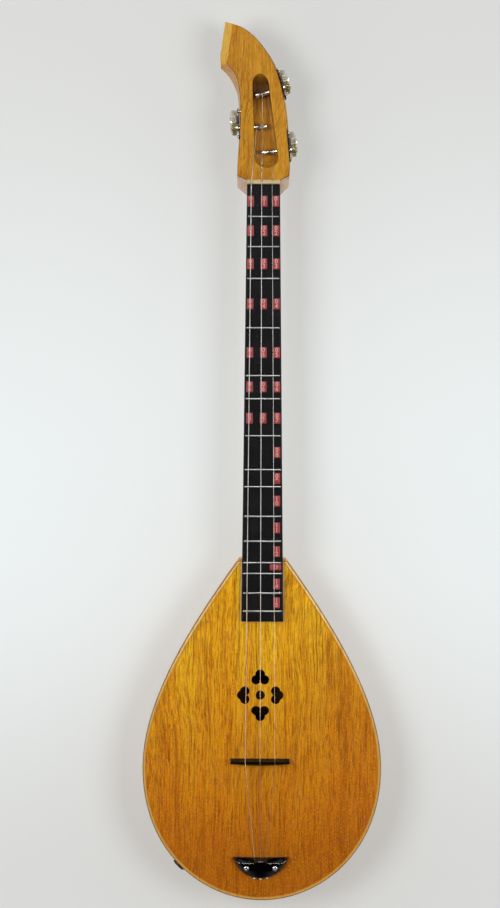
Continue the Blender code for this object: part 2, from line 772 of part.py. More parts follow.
def build_fretboard(materials):
    """The black fretboard, with bevelled edges and a slot for each fret."""
    rings = []
    for station in (GAP, FRETBOARD_LENGTH):
        half, top = neck_half_width(station), FRETBOARD_TOP
        inner, shoulder = half - FRETBOARD_CHAMFER, top - FRETBOARD_CHAMFER
        corners = ((half, FRETBOARD_BASE), (half, shoulder), (inner, top))
        mirrored = tuple((-x, z) for x, z in reversed(corners))
        rings.append([place(x, station, z) for x, z in corners + mirrored])
    board = show("fretboard", loft(rings), materials["board_black"])
    half = FRET_TANG_WIDTH / 2 + FRET_FIT
    low, high = FRETBOARD_TOP - FRET_TANG_DEPTH - FRET_FIT, FRETBOARD_TOP + FRETBOARD_THICKNESS
    for number, steps in enumerate(FRET_STEPS, 1):
        station, wide = fret_station(steps), FRETBOARD_END_WIDTH
        slot = box(place(-wide, station + half, low), place(wide, station - half, high))
        combine(board, hidden(f"fret_slot_{number:02d}", slot))


def build_frets(materials):
    """The frets: a half-round crown over a narrow tang."""
    tang, crown = FRET_TANG_WIDTH / 2, FRET_CROWN_WIDTH / 2
    under = FRETBOARD_TOP + FRET_FIT
    section = [(-tang, FRETBOARD_TOP - FRET_TANG_DEPTH), (-tang, under)]
    for i in range(EDGE_STEPS + 1):
        turn = math.pi * (1 - i / EDGE_STEPS)
        section.append((crown * math.cos(turn), under + FRET_CROWN_HEIGHT * math.sin(turn)))
    section += [(tang, under), (tang, FRETBOARD_TOP - FRET_TANG_DEPTH)]
    for number, steps in enumerate(FRET_STEPS, 1):
        station = fret_station(steps)
        reach = neck_half_width(station) - FRET_END_SETBACK
        rings = [[place(x, station + along, z) for along, z in section] for x in (-reach, reach)]
        show(f"fret_{number:02d}", loft(rings), materials["fret_metal"])


def string_x(number, spacing):
    """Where a string lies across the instrument, for a spacing between neighbours."""
    return STRING_LINE_X + (number - 1) * spacing


def tail_string_x(number):
    """Where a string lies across the instrument at the tailpiece."""
    return TAILPIECE_X + (number - 1) * TAIL_SPACING


def notch(name, x, radius, floor):
    """A cutter for a string's notch, from points (station, z) along its floor."""
    half = radius + STRING_ROOM
    above = BODY_TOP + 2 * BRIDGE_HEIGHT
    profile = [*floor, (floor[-1][0], above), (floor[0][0], above)]
    return hidden(name, loft([[place(x + side, s, z) for s, z in profile] for side in (-half, half)]))


def string_height_at_nut(number):
    """The height of a string's middle over the nut."""
    return FRETBOARD_TOP + NUT_NOTCH_FLOOR + GAP + STRING_RADII[number]


def string_height_at_bridge(number):
    """The height of a string's middle over the bridge."""
    floor = FRETBOARD_BASE + BRIDGE_HEIGHT - BRIDGE_NOTCH_DEPTH
    return floor + STRING_ROOM + STRING_RADII[number]


def build_nut(materials):
    """The nut, highest at its front, with a notch for each string that falls away to the head."""
    top, back = FRETBOARD_TOP + NUT_RISE, -NUT_THICKNESS
    profile = (
        (0.0, FRETBOARD_BASE),
        (0.0, top - NUT_FALL / 3),
        (-NUT_CREST / 3, top),
        (-NUT_CREST, top),
        (back, top - NUT_FALL),
        (back, FRETBOARD_BASE),
    )
    half = neck_half_width(0.0)
    nut = show("nut", loft([[place(x, s, z) for s, z in profile] for x in (-half, half)]), materials["bone"])
    for number, radius in enumerate(STRING_RADII):
        low = FRETBOARD_TOP + NUT_NOTCH_FLOOR
        floor = ((NUT_THICKNESS, low), (-NUT_CREST, low), (back * 2, low - NUT_FALL * 2))
        combine(nut, notch(f"nut_notch_{number + 1}", string_x(number, NUT_SPACING), radius, floor))


def build_bridge(materials):
    """The loose bridge: a low bar with a bellied back, a narrow top and a notch for each string."""
    rings = []
    front = BRIDGE_STATION - BRIDGE_FRONT_RUN
    for i in range(BRIDGE_STEPS + 1):
        share = -math.cos(math.pi * i / BRIDGE_STEPS)
        x = STRING_LINE_X + share * BRIDGE_LENGTH / 2
        back = BRIDGE_STATION + BRIDGE_BACK_RUN + BRIDGE_BELLY * (1 - share**2)
        top = FRETBOARD_BASE + BRIDGE_HEIGHT - (BRIDGE_HEIGHT - BRIDGE_END_HEIGHT) * share**4
        ridge = BRIDGE_TOP_WIDTH / 2
        corners = (
            (front, FRETBOARD_BASE),
            (BRIDGE_STATION - ridge, top),
            (BRIDGE_STATION + ridge, top),
            (back, FRETBOARD_BASE),
        )
        rings.append([place(x, s, z) for s, z in corners])
    bridge = show("bridge", loft(rings), materials["bridge_wood"])
    for number, radius in enumerate(STRING_RADII):
        low = FRETBOARD_BASE + BRIDGE_HEIGHT - BRIDGE_NOTCH_DEPTH
        floor = ((BRIDGE_STATION + BRIDGE_HEIGHT, low), (BRIDGE_STATION - BRIDGE_HEIGHT, low))
        x = string_x(number, BRIDGE_SPACING)
        combine(bridge, notch(f"bridge_notch_{number + 1}", x, radius, floor))


def tailpiece_edges(across):
    """The stations of the tailpiece's front and back edge, this far from its middle."""
    half = TAILPIECE_LENGTH / 2
    front = TAILPIECE_STATION + TAILPIECE_HOLLOW * (1 - (across / half) ** 2)
    radius = (half**2 + TAILPIECE_DROP**2) / (2 * TAILPIECE_DROP)
    back = TAILPIECE_STATION + TAILPIECE_DROP - radius + math.sqrt(radius**2 - across**2)
    return front, back


def tailpiece_section(across):
    """The tailpiece's upper line from its front edge to its back edge, as (station, height)."""
    front, back = tailpiece_edges(across)
    taper = (1 - TAILPIECE_TIP_SHARE) * math.sqrt(1 - (2 * across / TAILPIECE_LENGTH) ** 2)
    shrink = TAILPIECE_TIP_SHARE + taper
    low, edge, crest = (
        height * shrink
        for height in (TAILPIECE_FRONT_HEIGHT, TAILPIECE_BACK_HEIGHT, TAILPIECE_RIDGE_HEIGHT)
    )
    hump = max(1 - (across / TAILPIECE_HUMP_HALF_WIDTH) ** 2, 0.0) ** 2 * TAILPIECE_HUMP
    ridge = front + min(TAILPIECE_RIDGE_RUN - hump, (back - front) * TAILPIECE_RIDGE_SHARE)
    bulge = edge + (crest - edge) * TAILPIECE_BULGE_SHARE
    return (
        (front, low),
        (ridge, crest),
        ((ridge + back) / 2, bulge),
        (back, edge),
    )


def tailpiece_height(across, station):
    """The tailpiece's thickness at a place on it."""
    line = tailpiece_section(across)
    for (s0, z0), (s1, z1) in zip(line, line[1:]):
        if s0 <= station <= s1:
            return z0 + (z1 - z0) * (station - s0) / (s1 - s0)
    raise ValueError("the place lies off the tailpiece")


def tail_string_points(number):
    """Where a string leaves the tailpiece at its front, and the floor of its ball's seat."""
    x = tail_string_x(number)
    front = tailpiece_edges(0.0)[0] - TAIL_STRING_EXIT
    floor = tailpiece_edges(abs(x - TAILPIECE_X) + BALL_RADIUS)[1] - BALL_SINK
    high = FRETBOARD_BASE + TAIL_STRING_HEIGHT
    return place(x, front, high), place(x, floor, high)


def build_tailpiece(materials, tail_holes):
    """The crescent that anchors the strings: a ridge, a seat and hole for each, and two screws."""
    rings = []
    for i in range(TAILPIECE_STEPS + 1):
        turn = math.pi * (i + 0.5) / (TAILPIECE_STEPS + 1)
        across = -math.cos(turn) * TAILPIECE_LENGTH / 2
        front, back = tailpiece_edges(across)
        corners = [(front, 0.0), *tailpiece_section(across), (back, 0.0)]
        x = TAILPIECE_X + across
        rings.append([place(x, s, FRETBOARD_BASE + z) for s, z in corners])
    tailpiece = show("tailpiece", loft(rings), materials["tail_black"])
    for number, radius in enumerate(STRING_RADII):
        front, floor = tail_string_points(number)
        run = (floor - front).length
        drilling = (
            (radius + STRING_ROOM, -run),
            (radius + STRING_ROOM, run),
            (BALL_RADIUS + GAP, run),
            (BALL_RADIUS + GAP, run * 2),
        )
        hole = turned(drilling, steps=SMALL_STEPS)
        matrix = aimed(front, floor - front)
        combine(tailpiece, hidden(f"tail_string_hole_{number + 1}", hole, matrix=matrix))
    for hole in tail_holes:
        combine(tailpiece, hole)
    for name, x, station, seat in tail_screw_places():
        spot = cylinder(TAIL_SCREW_HEAD_RADIUS + GAP, -GAP, SCREW_HEAD_HEIGHT * 4)
        matrix = Matrix.Translation(place(x, station, seat))
        combine(tailpiece, hidden(f"tail_screw_seat_{name}", spot, matrix=matrix))
        sizes = (TAIL_SCREW_HEAD_RADIUS, TAIL_SCREW_RADIUS, TAIL_SCREW_LENGTH)
        add_screw(f"tailpiece_screw_{name}", sizes, materials["screw_steel"], matrix=matrix)


def make_tail_holes():
    """The holes for the tailpiece screws, which run through tailpiece, soundboard and tail block."""
    holes = []
    for name, x, station, seat in tail_screw_places():
        matrix = Matrix.Translation(place(x, station, seat))
        hole = screw_hole(f"tail_hole_{name}", TAIL_SCREW_RADIUS, TAIL_SCREW_LENGTH, WALL, matrix=matrix)
        holes.append(hole)
    return holes


def head_outline(face):
    """The head's outline as (x, station), on its front face (0) or on its back (1)."""
    tip, crown, jaw = HEAD_TIP[face], HEAD_CROWN[face], HEAD_RIGHT_JAW[face]
    cheek, throat = HEAD_LEFT_CHEEK[face], HEAD_THROAT[face]
    shoulder = HEAD_LEFT_SHOULDER[face]
    end = (neck_half_width(0.0), JOINT_FRONT + JOINT_LEAN * face)
    outline = swept(tip, crown, CREST_TURN, CREST_STEPS)
    outline += swept(crown, jaw, RIGHT_CHEEK_TURN, CHEEK_STEPS)[1:]
    outline += [HEAD_RIGHT_SHOULDER[face], end, (-end[0], end[1])]
    outline += swept(shoulder, cheek, LEFT_CHEEK_TURN, CHEEK_STEPS)
    outline += swept(cheek, throat, THROAT_TURN, THROAT_STEPS)[1:]
    outline.append(HEAD_HORN[face])
    return outline


def slot_shares(station):
    """How much of its width and of its depth the string slot has at a station."""
    from_start, to_end = station - SLOT_START, SLOT_END - station

    def share(distance, run):
        reach = 1 - min(max(distance / run, 0.0), 1.0)
        return math.sqrt(1 - reach**2)

    width = share(from_start, SLOT_START_RUN) * share(to_end, SLOT_END_RUN)
    depth = share(from_start, SLOT_START_RUN) * share(to_end, SLOT_RAMP)
    return width, depth


def slot_section(station):
    """The string slot's cross-section as (x, z), open above the head's face."""
    width, depth = slot_shares(station)
    along = (station - SLOT_START) / (SLOT_END - SLOT_START)
    full = SLOT_START_WIDTH + (SLOT_END_WIDTH - SLOT_START_WIDTH) * along
    edge = SLOT_START_LEFT + (SLOT_END_LEFT - SLOT_START_LEFT) * along
    middle, half = edge + full / 2, full / 2 * max(width, SLOT_TIP_SHARE)
    lip = GAP * 2
    floor = HEAD_FACE + lip - (SLOT_DEPTH + lip) * depth
    fillet = min(SLOT_FILLET, min(half, HEAD_FACE + lip * 2 - floor) * SLOT_FILLET_SHARE)
    above = HEAD_FACE + SLOT_DEPTH / 2
    corner = fillet * (1 - math.sqrt(0.5))
    left, right = middle - half, middle + half
    return (
        (left, above),
        (left, floor + fillet),
        (left + corner, floor + corner),
        (left + fillet, floor),
        (right - fillet, floor),
        (right - corner, floor + corner),
        (right, floor + fillet),
        (right, above),
    )


def build_head(materials, frames):
    """The head: a hooked slab, wider at its back, with the string slot, mortise and tuner seats."""
    rings = []
    for face, z in ((0, HEAD_FACE), (1, HEAD_BACK)):
        rings.append([place(x, s, z) for x, s in head_outline(face)])
    head = show("headstock", loft(rings), materials["neck_wood"])

    stations = [
        SLOT_START + (SLOT_END - SLOT_START) * (1 - math.cos(math.pi * i / SLOT_STEPS)) / 2
        for i in range(SLOT_STEPS + 1)
    ]
    slot = loft([[place(x, s, z) for x, z in slot_section(s)] for s in stations])
    combine(head, hidden("string_slot", slot))

    low, high = head_tenon_heights()
    half = HEAD_TENON_WIDTH / 2 + GAP
    mortise = box(
        place(-half, TENON_ROOT, low - GAP),
        place(half, -HEAD_TENON_LENGTH - GAP, high + GAP),
    )
    combine(head, hidden("head_mortise", mortise))

    seat_half = PLATE_LENGTH / 2 + SEAT_ROOM
    clear = 2 * HEAD_DEPTH
    for name, (hand, *_) in TUNERS.items():
        middle = hand * PLATE_POST_OFFSET
        seat = box((middle - seat_half, -clear, 0.0), (middle + seat_half, clear, WALL))
        combine(head, hidden(f"{name}_seat", seat, frames[name]))
        hole = cylinder(POST_RADIUS + GAP, -POST_REACH, WALL)
        combine(head, hidden(f"{name}_post_hole", hole, frames[name]))
        for end, x in mount_screw_places(hand):
            matrix = Matrix.Translation((x, 0.0, 0.0))
            sizes = (MOUNT_SCREW_RADIUS, MOUNT_SCREW_LENGTH, WALL)
            combine(head, screw_hole(f"{name}_{end}_hole", *sizes, frames[name], matrix))


def mount_screw_places(hand):
    """The two screws of a tuner's plate: (name, distance along the plate from its post)."""
    reach = PLATE_LENGTH / 2 - MOUNT_SCREW_INSET
    for end, side in (("tip", 1), ("nut", -1)):
        yield end, hand * (PLATE_POST_OFFSET + side * reach)


def make_tuner_frame(name):
    """The axes of a tuner: X along its plate, Y up, Z out of the head along the post."""
    hand, seat_x, station, tilt = TUNERS[name]
    outward = Vector((hand * math.cos(tilt), math.sin(tilt), 0.0))
    up = Vector((0.0, 0.0, 1.0))
    matrix = Matrix((up.cross(outward), up, outward)).transposed().to_4x4()
    matrix.translation = place(hand * seat_x, station, POST_HEIGHT)
    return make_frame(f"{name}_tuner", matrix)


def build_plate(name, hand, frame, materials):
    """The tuner's base plate with its two folded lugs, which hold the worm."""
    middle = hand * PLATE_POST_OFFSET
    half_length, half_width = PLATE_LENGTH / 2, PLATE_WIDTH / 2
    outline = []
    for side_x, side_y, start in ((1, 1, 0), (-1, 1, 1), (-1, -1, 2), (1, -1, 3)):
        for i in range(EDGE_STEPS + 1):
            turn = math.pi / 2 * (start + i / EDGE_STEPS)
            x = side_x * (half_length - PLATE_CORNER) + PLATE_CORNER * math.cos(turn)
            y = side_y * (half_width - PLATE_CORNER) + PLATE_CORNER * math.sin(turn)
            outline.append((middle + x, y))
    plate = show(f"{name}_tuner_plate", prism(outline, GAP, PLATE_FACE), materials["nickel"], frame)

    centre = hand * CENTRE_DISTANCE
    arch = [(centre - LUG_HALF_WIDTH, PLATE_FACE / 2)]
    for i in range(ARCH_STEPS + 1):
        turn = math.pi * (1 - i / ARCH_STEPS)
        x, z = LUG_HALF_WIDTH * math.cos(turn), LUG_HALF_WIDTH * math.sin(turn)
        arch.append((centre + x, GEAR_MIDDLE + z))
    arch.append((centre + LUG_HALF_WIDTH, PLATE_FACE / 2))
    for end, side in (("front", 1), ("back", -1)):
        faces = (side * (LUG_FACE - PLATE_THICKNESS), side * LUG_FACE)
        lug = loft([[Vector((x, y, z)) for x, z in arch] for y in faces])
        combine(plate, hidden(f"{name}_lug_{end}", lug, frame), "UNION")

    post_hole = cylinder(POST_RADIUS + GAP, -WALL, WALL)
    combine(plate, hidden(f"{name}_plate_hole", post_hole, frame))
    shaft_hole = cylinder(WORM_SHAFT_RADIUS + GAP, -WALL, WALL, SMALL_STEPS)
    combine(plate, hidden(f"{name}_lug_hole", shaft_hole, frame, worm_placement(hand)))
    for end, x in mount_screw_places(hand):
        matrix = Matrix.Translation((x, 0.0, PLATE_FACE + GAP))
        sizes = (MOUNT_SCREW_RADIUS, MOUNT_SCREW_LENGTH, WALL)
        combine(plate, screw_hole(f"{name}_plate_{end}_hole", *sizes, frame, matrix))
        sizes = (MOUNT_SCREW_HEAD_RADIUS, MOUNT_SCREW_RADIUS, MOUNT_SCREW_LENGTH)
        add_screw(f"{name}_tuner_screw_{end}", sizes, materials["nickel"], frame, matrix)


def worm_placement(hand):
    """The worm's axes in its tuner's: Z along the shaft, X out of the head."""
    matrix = Matrix(((0, 1, 0), (0, 0, 1), (1, 0, 0))).to_4x4()
    matrix.translation = (hand * CENTRE_DISTANCE, 0.0, GEAR_MIDDLE)
    return matrix


def tooth_half_angle(radius):
    """Half the angle that a tooth of the gear fills at a radius."""
    return (TOOTH_THICKNESS / 2 - PRESSURE_SLOPE * (radius - GEAR_PITCH_RADIUS)) / radius


def gear_ring(height, bore):
    """The gear's toothed outline at a height on its axis, or its bore at the same angles."""
    lead_slope = WORM_LEAD / (2 * math.pi * WORM_PITCH_RADIUS)
    twist = height * lead_slope / GEAR_PITCH_RADIUS
    points = []
    for tooth in range(GEAR_TEETH):
        middle = 2 * math.pi * (tooth + 0.5) / GEAR_TEETH + twist
        for radius, side in (
            (GEAR_ROOT_RADIUS, -1),
            (GEAR_RADIUS, -1),
            (GEAR_RADIUS, 1),
            (GEAR_ROOT_RADIUS, 1),
        ):
            turn = middle + side * tooth_half_angle(radius)
            reach = bore or radius
            points.append(Vector((reach * math.cos(turn), reach * math.sin(turn), height)))
    return points


def build_gear(name, hand, frame, materials):
    """The gear on the outer end of the post, and the screw that holds it."""
    half, bore = GEAR_WIDTH / 2, POST_TANG_RADIUS + GAP
    rings = [gear_ring(-half, 0), gear_ring(half, 0), gear_ring(half, bore), gear_ring(-half, bore)]
    phase = 0.0 if hand > 0 else math.pi
    matrix = Matrix.Translation((0.0, 0.0, GEAR_MIDDLE)) @ Matrix.Rotation(phase, 4, "Z")
    show(f"{name}_gear", loft(rings, closed=True), materials["brass"], frame, matrix)
    seat = Matrix.Translation((0.0, 0.0, GEAR_MIDDLE + half + GAP))
    sizes = (GEAR_SCREW_HEAD_RADIUS, GEAR_SCREW_RADIUS, GEAR_SCREW_LENGTH)
    add_screw(f"{name}_gear_screw", sizes, materials["nickel"], frame, seat)


def build_post(name, frame, materials):
    """The string post: tang for the gear, collar, bearing, waist for the string and a knob end."""
    collar_low, collar_high = PLATE_FACE + GAP, GEAR_MIDDLE - GEAR_WIDTH / 2 - GAP
    waist_end = POST_KNOB_LENGTH - POST_REACH
    waist_start = waist_end + POST_WAIST_LENGTH
    profile = (
        (POST_RADIUS - POST_BEVEL, -POST_REACH),
        (POST_RADIUS, POST_BEVEL - POST_REACH),
        (POST_RADIUS, waist_end),
        (POST_WAIST_RADIUS, waist_end + POST_WAIST_SLOPE),
        (POST_WAIST_RADIUS, waist_start),
        (POST_RADIUS, waist_start + POST_WAIST_SLOPE),
        (POST_RADIUS, collar_low),
        (POST_COLLAR_RADIUS, collar_low),
        (POST_COLLAR_RADIUS, collar_high),
        (POST_TANG_RADIUS, collar_high),
        (POST_TANG_RADIUS, GEAR_MIDDLE + GEAR_WIDTH / 2 - GAP),
    )
    post = show(f"{name}_string_post", turned(profile), materials["nickel"], frame)
    seat = Matrix.Translation((0.0, 0.0, GEAR_MIDDLE + GEAR_WIDTH / 2 + GAP))
    hole = screw_hole(f"{name}_gear_hole", GEAR_SCREW_RADIUS, GEAR_SCREW_LENGTH, WALL, frame, seat)
    combine(post, hole)
    across = aimed((0.0, 0.0, (waist_start + waist_end) / 2), (0.0, 1.0, 0.0))
    string_hole = cylinder(POST_HOLE_RADIUS, -WALL, WALL, SMALL_STEPS)
    combine(post, hidden(f"{name}_string_hole", string_hole, frame, across))


def worm_thread(hand, reach):
    """The worm's thread as a swept solid, which runs out at both ends."""
    start = -math.pi / 2 * hand
    turns = 2 * reach / WORM_LEAD
    count = round(turns * ROUND_STEPS)
    inner = WORM_ROOT_RADIUS - GAP
    rings = []
    for i in range(count + 1):
        along = i / count - 0.5
        turn = start + along * turns * 2 * math.pi
        height = along * 2 * reach
        fade = min(min(i, count - i) / (ROUND_STEPS / 4), 1.0)
        outer = inner + GAP / 2 + (WORM_RADIUS - inner - GAP / 2) * fade
        ring = []
        for radius, side in ((inner, -1), (outer, -1), (outer, 1), (inner, 1)):
            half = TOOTH_THICKNESS / 2 - PRESSURE_SLOPE * (radius - WORM_PITCH_RADIUS)
            ring.append(
                Vector((radius * math.cos(turn), radius * math.sin(turn), height + side * half))
            )
        rings.append(ring)
    return loft(rings)


def build_worm(name, hand, frame, materials):
    """The worm on its shaft, held between the lugs, and the button on the shaft's end."""
    placement = worm_placement(hand)
    half = LUG_FACE - PLATE_THICKNESS - GAP
    button_top = -LUG_FACE - SHAFT_NECK
    shaft_end = button_top - SHAFT_IN_BUTTON
    profile = (
        (WORM_SHAFT_RADIUS, shaft_end),
        (WORM_SHAFT_RADIUS, -half),
        (WORM_ROOT_RADIUS, -half),
        (WORM_ROOT_RADIUS, half),
        (WORM_SHAFT_RADIUS, half),
        (WORM_SHAFT_RADIUS, LUG_FACE + PLATE_THICKNESS),
    )
    worm = show(f"{name}_worm_shaft", turned(profile), materials["nickel"], frame, placement)
    thread = worm_thread(hand, half - TOOTH_THICKNESS)
    combine(worm, hidden(f"{name}_worm_thread", thread, frame, placement), "UNION")

    rings = []
    for i in range(BUTTON_STEPS + 1):
        share = i / BUTTON_STEPS
        swell = math.sin(BUTTON_NECK_TURN + (BUTTON_TIP_TURN - BUTTON_NECK_TURN) * share)
        z = button_top - BUTTON_LENGTH * share
        wide = BUTTON_HALF_WIDTH * swell**BUTTON_FULLNESS
        thick = BUTTON_HALF_THICKNESS * swell**BUTTON_FULLNESS
        if i < 2:
            thick = max(thick, BUTTON_NECK_RADIUS)
        rings.append([Vector((x * thick, y * wide, z)) for x, y in circle(1.0, ROUND_STEPS)])
    button = show(f"{name}_button", loft(rings), materials["pearl"], frame, placement)
    socket = cylinder(WORM_SHAFT_RADIUS + GAP, shaft_end - GAP, button_top + WALL, SMALL_STEPS)
    combine(button, hidden(f"{name}_button_socket", socket, frame, placement))


def build_tuners(materials, frames):
    """The three side-mounted tuners."""
    for name, (hand, *_) in TUNERS.items():
        frame = frames[name]
        build_plate(name, hand, frame, materials)
        build_gear(name, hand, frame, materials)
        build_post(name, frame, materials)
        build_worm(name, hand, frame, materials)


def add_tube(name, stops, radius, material):
    """A round tube through stops, each a point and the share of the radius that it has there."""
    curve = bpy.data.curves.new(name, "CURVE")
    curve.dimensions = "3D"
    curve.bevel_depth = radius
    curve.bevel_resolution = 2
    curve.use_fill_caps = True
    line = curve.splines.new("POLY")
    line.points.add(len(stops) - 1)
    for i, (point, share) in enumerate(stops):
        line.points[i].co = (*point, 1.0)
        line.points[i].radius = share
    curve.materials.append(material)
    bpy.context.scene.collection.objects.link(bpy.data.objects.new(name, curve))


def post_point(tuner, x, radius):
    """Where a string from the nut first touches its post, a gap away from it."""
    hand, seat_x, station, tilt = TUNERS[tuner]
    inward = (seat_x - hand * x) / math.cos(tilt)
    centre = station + inward * math.sin(tilt)
    reach = POST_RADIUS + GAP + radius
    return centre, reach


def build_strings(materials):
    """The three strings, each from its ball end over bridge and nut to its post."""
    for number, (tuner, x_at_post) in enumerate(STRING_ENDS):
        radius = STRING_RADII[number]
        leave, floor = tail_string_points(number)
        seat = floor + Vector((0.0, -GAP, 0.0))
        tip = seat + Vector((0.0, -BALL_LENGTH, 0.0))
        edge = Vector((0.0, -BALL_EDGE, 0.0))
        ball, ball_end = BALL_RADIUS / radius, (BALL_RADIUS - BALL_EDGE) / radius
        bridge_x, bridge_z = string_x(number, BRIDGE_SPACING), string_height_at_bridge(number)
        nut_station, nut_z = -NUT_THICKNESS / 4, string_height_at_nut(number)
        centre, reach = post_point(tuner, x_at_post, radius)
        fall, run = nut_z - POST_HEIGHT, nut_station - centre
        lean = math.atan2(fall, run) - math.asin(reach / math.hypot(fall, run))
        end = place(x_at_post, centre + reach * math.sin(lean), POST_HEIGHT + reach * math.cos(lean))
        line = (
            (tip, ball_end),
            (tip - edge, ball),
            (seat + edge, ball),
            (seat, ball_end),
            (floor, 1.0),
            (leave, 1.0),
            (place(bridge_x, BRIDGE_STATION, bridge_z), 1.0),
            (place(string_x(number, NUT_SPACING), nut_station, nut_z), 1.0),
            (end, 1.0),
        )
        add_tube(f"string_{number + 1}", line, radius, materials["string_steel"])


def build_pickup(materials):
    """The output jack in the wall, its washer and nut, the pickup disc and the lead between them."""
    wall = wall_frame(JACK_STATION, JACK_HEIGHT)
    washer_low = GAP - JACK_SPOT_DEPTH
    washer_high = washer_low + JACK_WASHER_THICKNESS
    nut_low = washer_high + GAP
    nut_high = nut_low + JACK_NUT_THICKNESS
    mouth = nut_high + GAP * 2
    flange = -JACK_WALL - GAP
    inner_end = mouth - JACK_LENGTH
    case = JACK_FLANGE_RADIUS - JACK_CASE_STEP
    profile = (
        (case, inner_end),
        (case, flange - JACK_FLANGE_THICKNESS),
        (JACK_FLANGE_RADIUS, flange - JACK_FLANGE_THICKNESS),
        (JACK_FLANGE_RADIUS, flange),
        (JACK_RADIUS, flange),
        (JACK_RADIUS, mouth),
        (JACK_BORE_RADIUS, mouth),
        (JACK_BORE_RADIUS, inner_end + JACK_BORE_RADIUS),
    )
    show("jack_socket", turned(profile), materials["jack_black"], matrix=wall)
    for name, radius, low, high in (
        ("jack_washer", JACK_WASHER_RADIUS, washer_low, washer_high),
        ("jack_nut", JACK_NUT_RADIUS, nut_low, nut_high),
    ):
        inner = JACK_RADIUS + GAP
        ring = ((inner, low), (radius, low), (radius, high), (inner, high))
        show(name, turned(ring, closed=True), materials["jack_black"], matrix=wall)

    disc_top = BOARD_UNDERSIDE - GAP
    disc = cylinder(PIEZO_RADIUS, disc_top - PIEZO_THICKNESS, disc_top)
    matrix = Matrix.Translation(place(PIEZO_X, PIEZO_STATION, 0.0))
    show("piezo_disc", disc, materials["brass"], matrix=matrix)

    start = place(PIEZO_X, PIEZO_STATION, disc_top - PIEZO_THICKNESS - GAP - LEAD_RADIUS)
    end = wall @ Vector((0.0, 0.0, inner_end - GAP))
    second = end + wall.to_3x3() @ Vector(LEAD_JACK_PULL)
    route = bezier(start, start + Vector(LEAD_DISC_PULL), second, end, LEAD_STEPS)
    stops = [(point, 1.0) for point in route]
    add_tube("pickup_lead", stops, LEAD_RADIUS, materials["lead_jacket"])


def main():
    """Builds the whole instrument."""
    clear_scene()
    materials = make_materials()
    frames = {name: make_tuner_frame(name) for name in TUNERS}
    tail_holes = make_tail_holes()
    build_body(materials, tail_holes)
    build_soundboard(materials, tail_holes)
    build_braces(materials)
    build_neck(materials)
    build_head(materials, frames)
    build_fretboard(materials)
    build_frets(materials)
    build_nut(materials)
    build_bridge(materials)
    build_tailpiece(materials, tail_holes)
    build_tuners(materials, frames)
    build_strings(materials)
    build_pickup(materials)


main()
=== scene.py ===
"""Dresses the phin: its woods, metals, labels and strings, the studio and the camera.

Every length is in metres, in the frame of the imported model. Stations run along the strings from the
front of the nut, growing towards the tail.
"""

from __future__ import annotations

import json
import logging
import math
from abc import ABC, abstractmethod
from dataclasses import dataclass
from enum import Enum
from functools import lru_cache
from typing import Optional, Sequence, Union

import bmesh
import bpy
from mathutils import Matrix, Vector


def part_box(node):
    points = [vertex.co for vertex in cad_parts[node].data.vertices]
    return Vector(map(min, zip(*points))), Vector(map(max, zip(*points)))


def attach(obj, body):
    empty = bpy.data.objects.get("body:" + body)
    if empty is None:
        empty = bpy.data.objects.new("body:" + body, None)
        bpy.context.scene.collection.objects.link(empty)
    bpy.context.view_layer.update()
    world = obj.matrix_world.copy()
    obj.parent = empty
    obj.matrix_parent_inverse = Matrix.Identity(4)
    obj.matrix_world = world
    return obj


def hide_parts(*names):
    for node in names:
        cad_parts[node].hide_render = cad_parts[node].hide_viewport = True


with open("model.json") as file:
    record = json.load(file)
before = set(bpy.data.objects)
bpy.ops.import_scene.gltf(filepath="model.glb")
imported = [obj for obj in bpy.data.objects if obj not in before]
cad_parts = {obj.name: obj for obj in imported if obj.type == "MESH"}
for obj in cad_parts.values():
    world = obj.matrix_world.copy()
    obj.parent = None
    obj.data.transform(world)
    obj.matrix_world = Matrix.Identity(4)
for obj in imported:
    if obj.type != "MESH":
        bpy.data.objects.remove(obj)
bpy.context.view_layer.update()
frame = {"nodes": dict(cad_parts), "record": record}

LOG = logging.getLogger("phin")
NUT_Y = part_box("nut")[0].y
GAP = 0.0003
BODY_TOP = 0.058
Colour = tuple[float, float, float]
Way = tuple[float, float, float]


class Axis(Enum):
    """An axis of the instrument, as a direction."""

    ACROSS = (1.0, 0.0, 0.0)
    ALONG = (0.0, 1.0, 0.0)
    UP = (0.0, 0.0, 1.0)


class Grain(Enum):
    """Which way fibres run, as a mark on that axis."""

    LENGTHWAYS = (0, 1, 0)
    CROSSWAYS = (1, 0, 0)


class Hand(Enum):
    """A side of the instrument."""

    BASS = "bass"
    TREBLE = "treble"


class Kind(Enum):
    """The finishes."""

    TOP = "top_wood"
    BODY = "body_wood"
    NECK = "neck_wood"
    HEAD = "head_wood"
    BRACE = "brace_wood"
    BRIDGE = "bridge_wood"
    VENEER = "veneer"
    BINDING = "binding"
    RIM_LINE = "rim_line"
    SEAM = "glue_seam"
    BOARD = "board_black"
    TAIL = "tail_black"
    FRET = "fret_metal"
    SCREW = "screw_steel"
    STRING = "string_steel"
    WOUND = "wound_string"
    BALL = "ball_metal"
    NICKEL = "nickel"
    PLATE = "plate_metal"
    BRASS = "brass"
    BONE = "bone"
    BUTTON = "button_plastic"
    JACK = "jack_black"
    LEAD = "lead_jacket"
    LABEL = "label_red"
    INK = "label_ink"


def place(x: float, station: float, z: float) -> Vector:
    """The point at a distance from the centre line, a station and a height."""
    return Vector((x, NUT_Y - station, z))


def tone(red: int, green: int, blue: int) -> Colour:
    """Turns a colour as a screen shows it, 0 to 255, into light values.

    Args:
        red: The red share.
        green: The green share.
        blue: The blue share.

    Returns:
        The three shares in linear light.
    """
    shares = (value / 255 for value in (red, green, blue))
    return tuple(v / 12.92 if v <= 0.04045 else ((v + 0.055) / 1.055) ** 2.4 for v in shares)


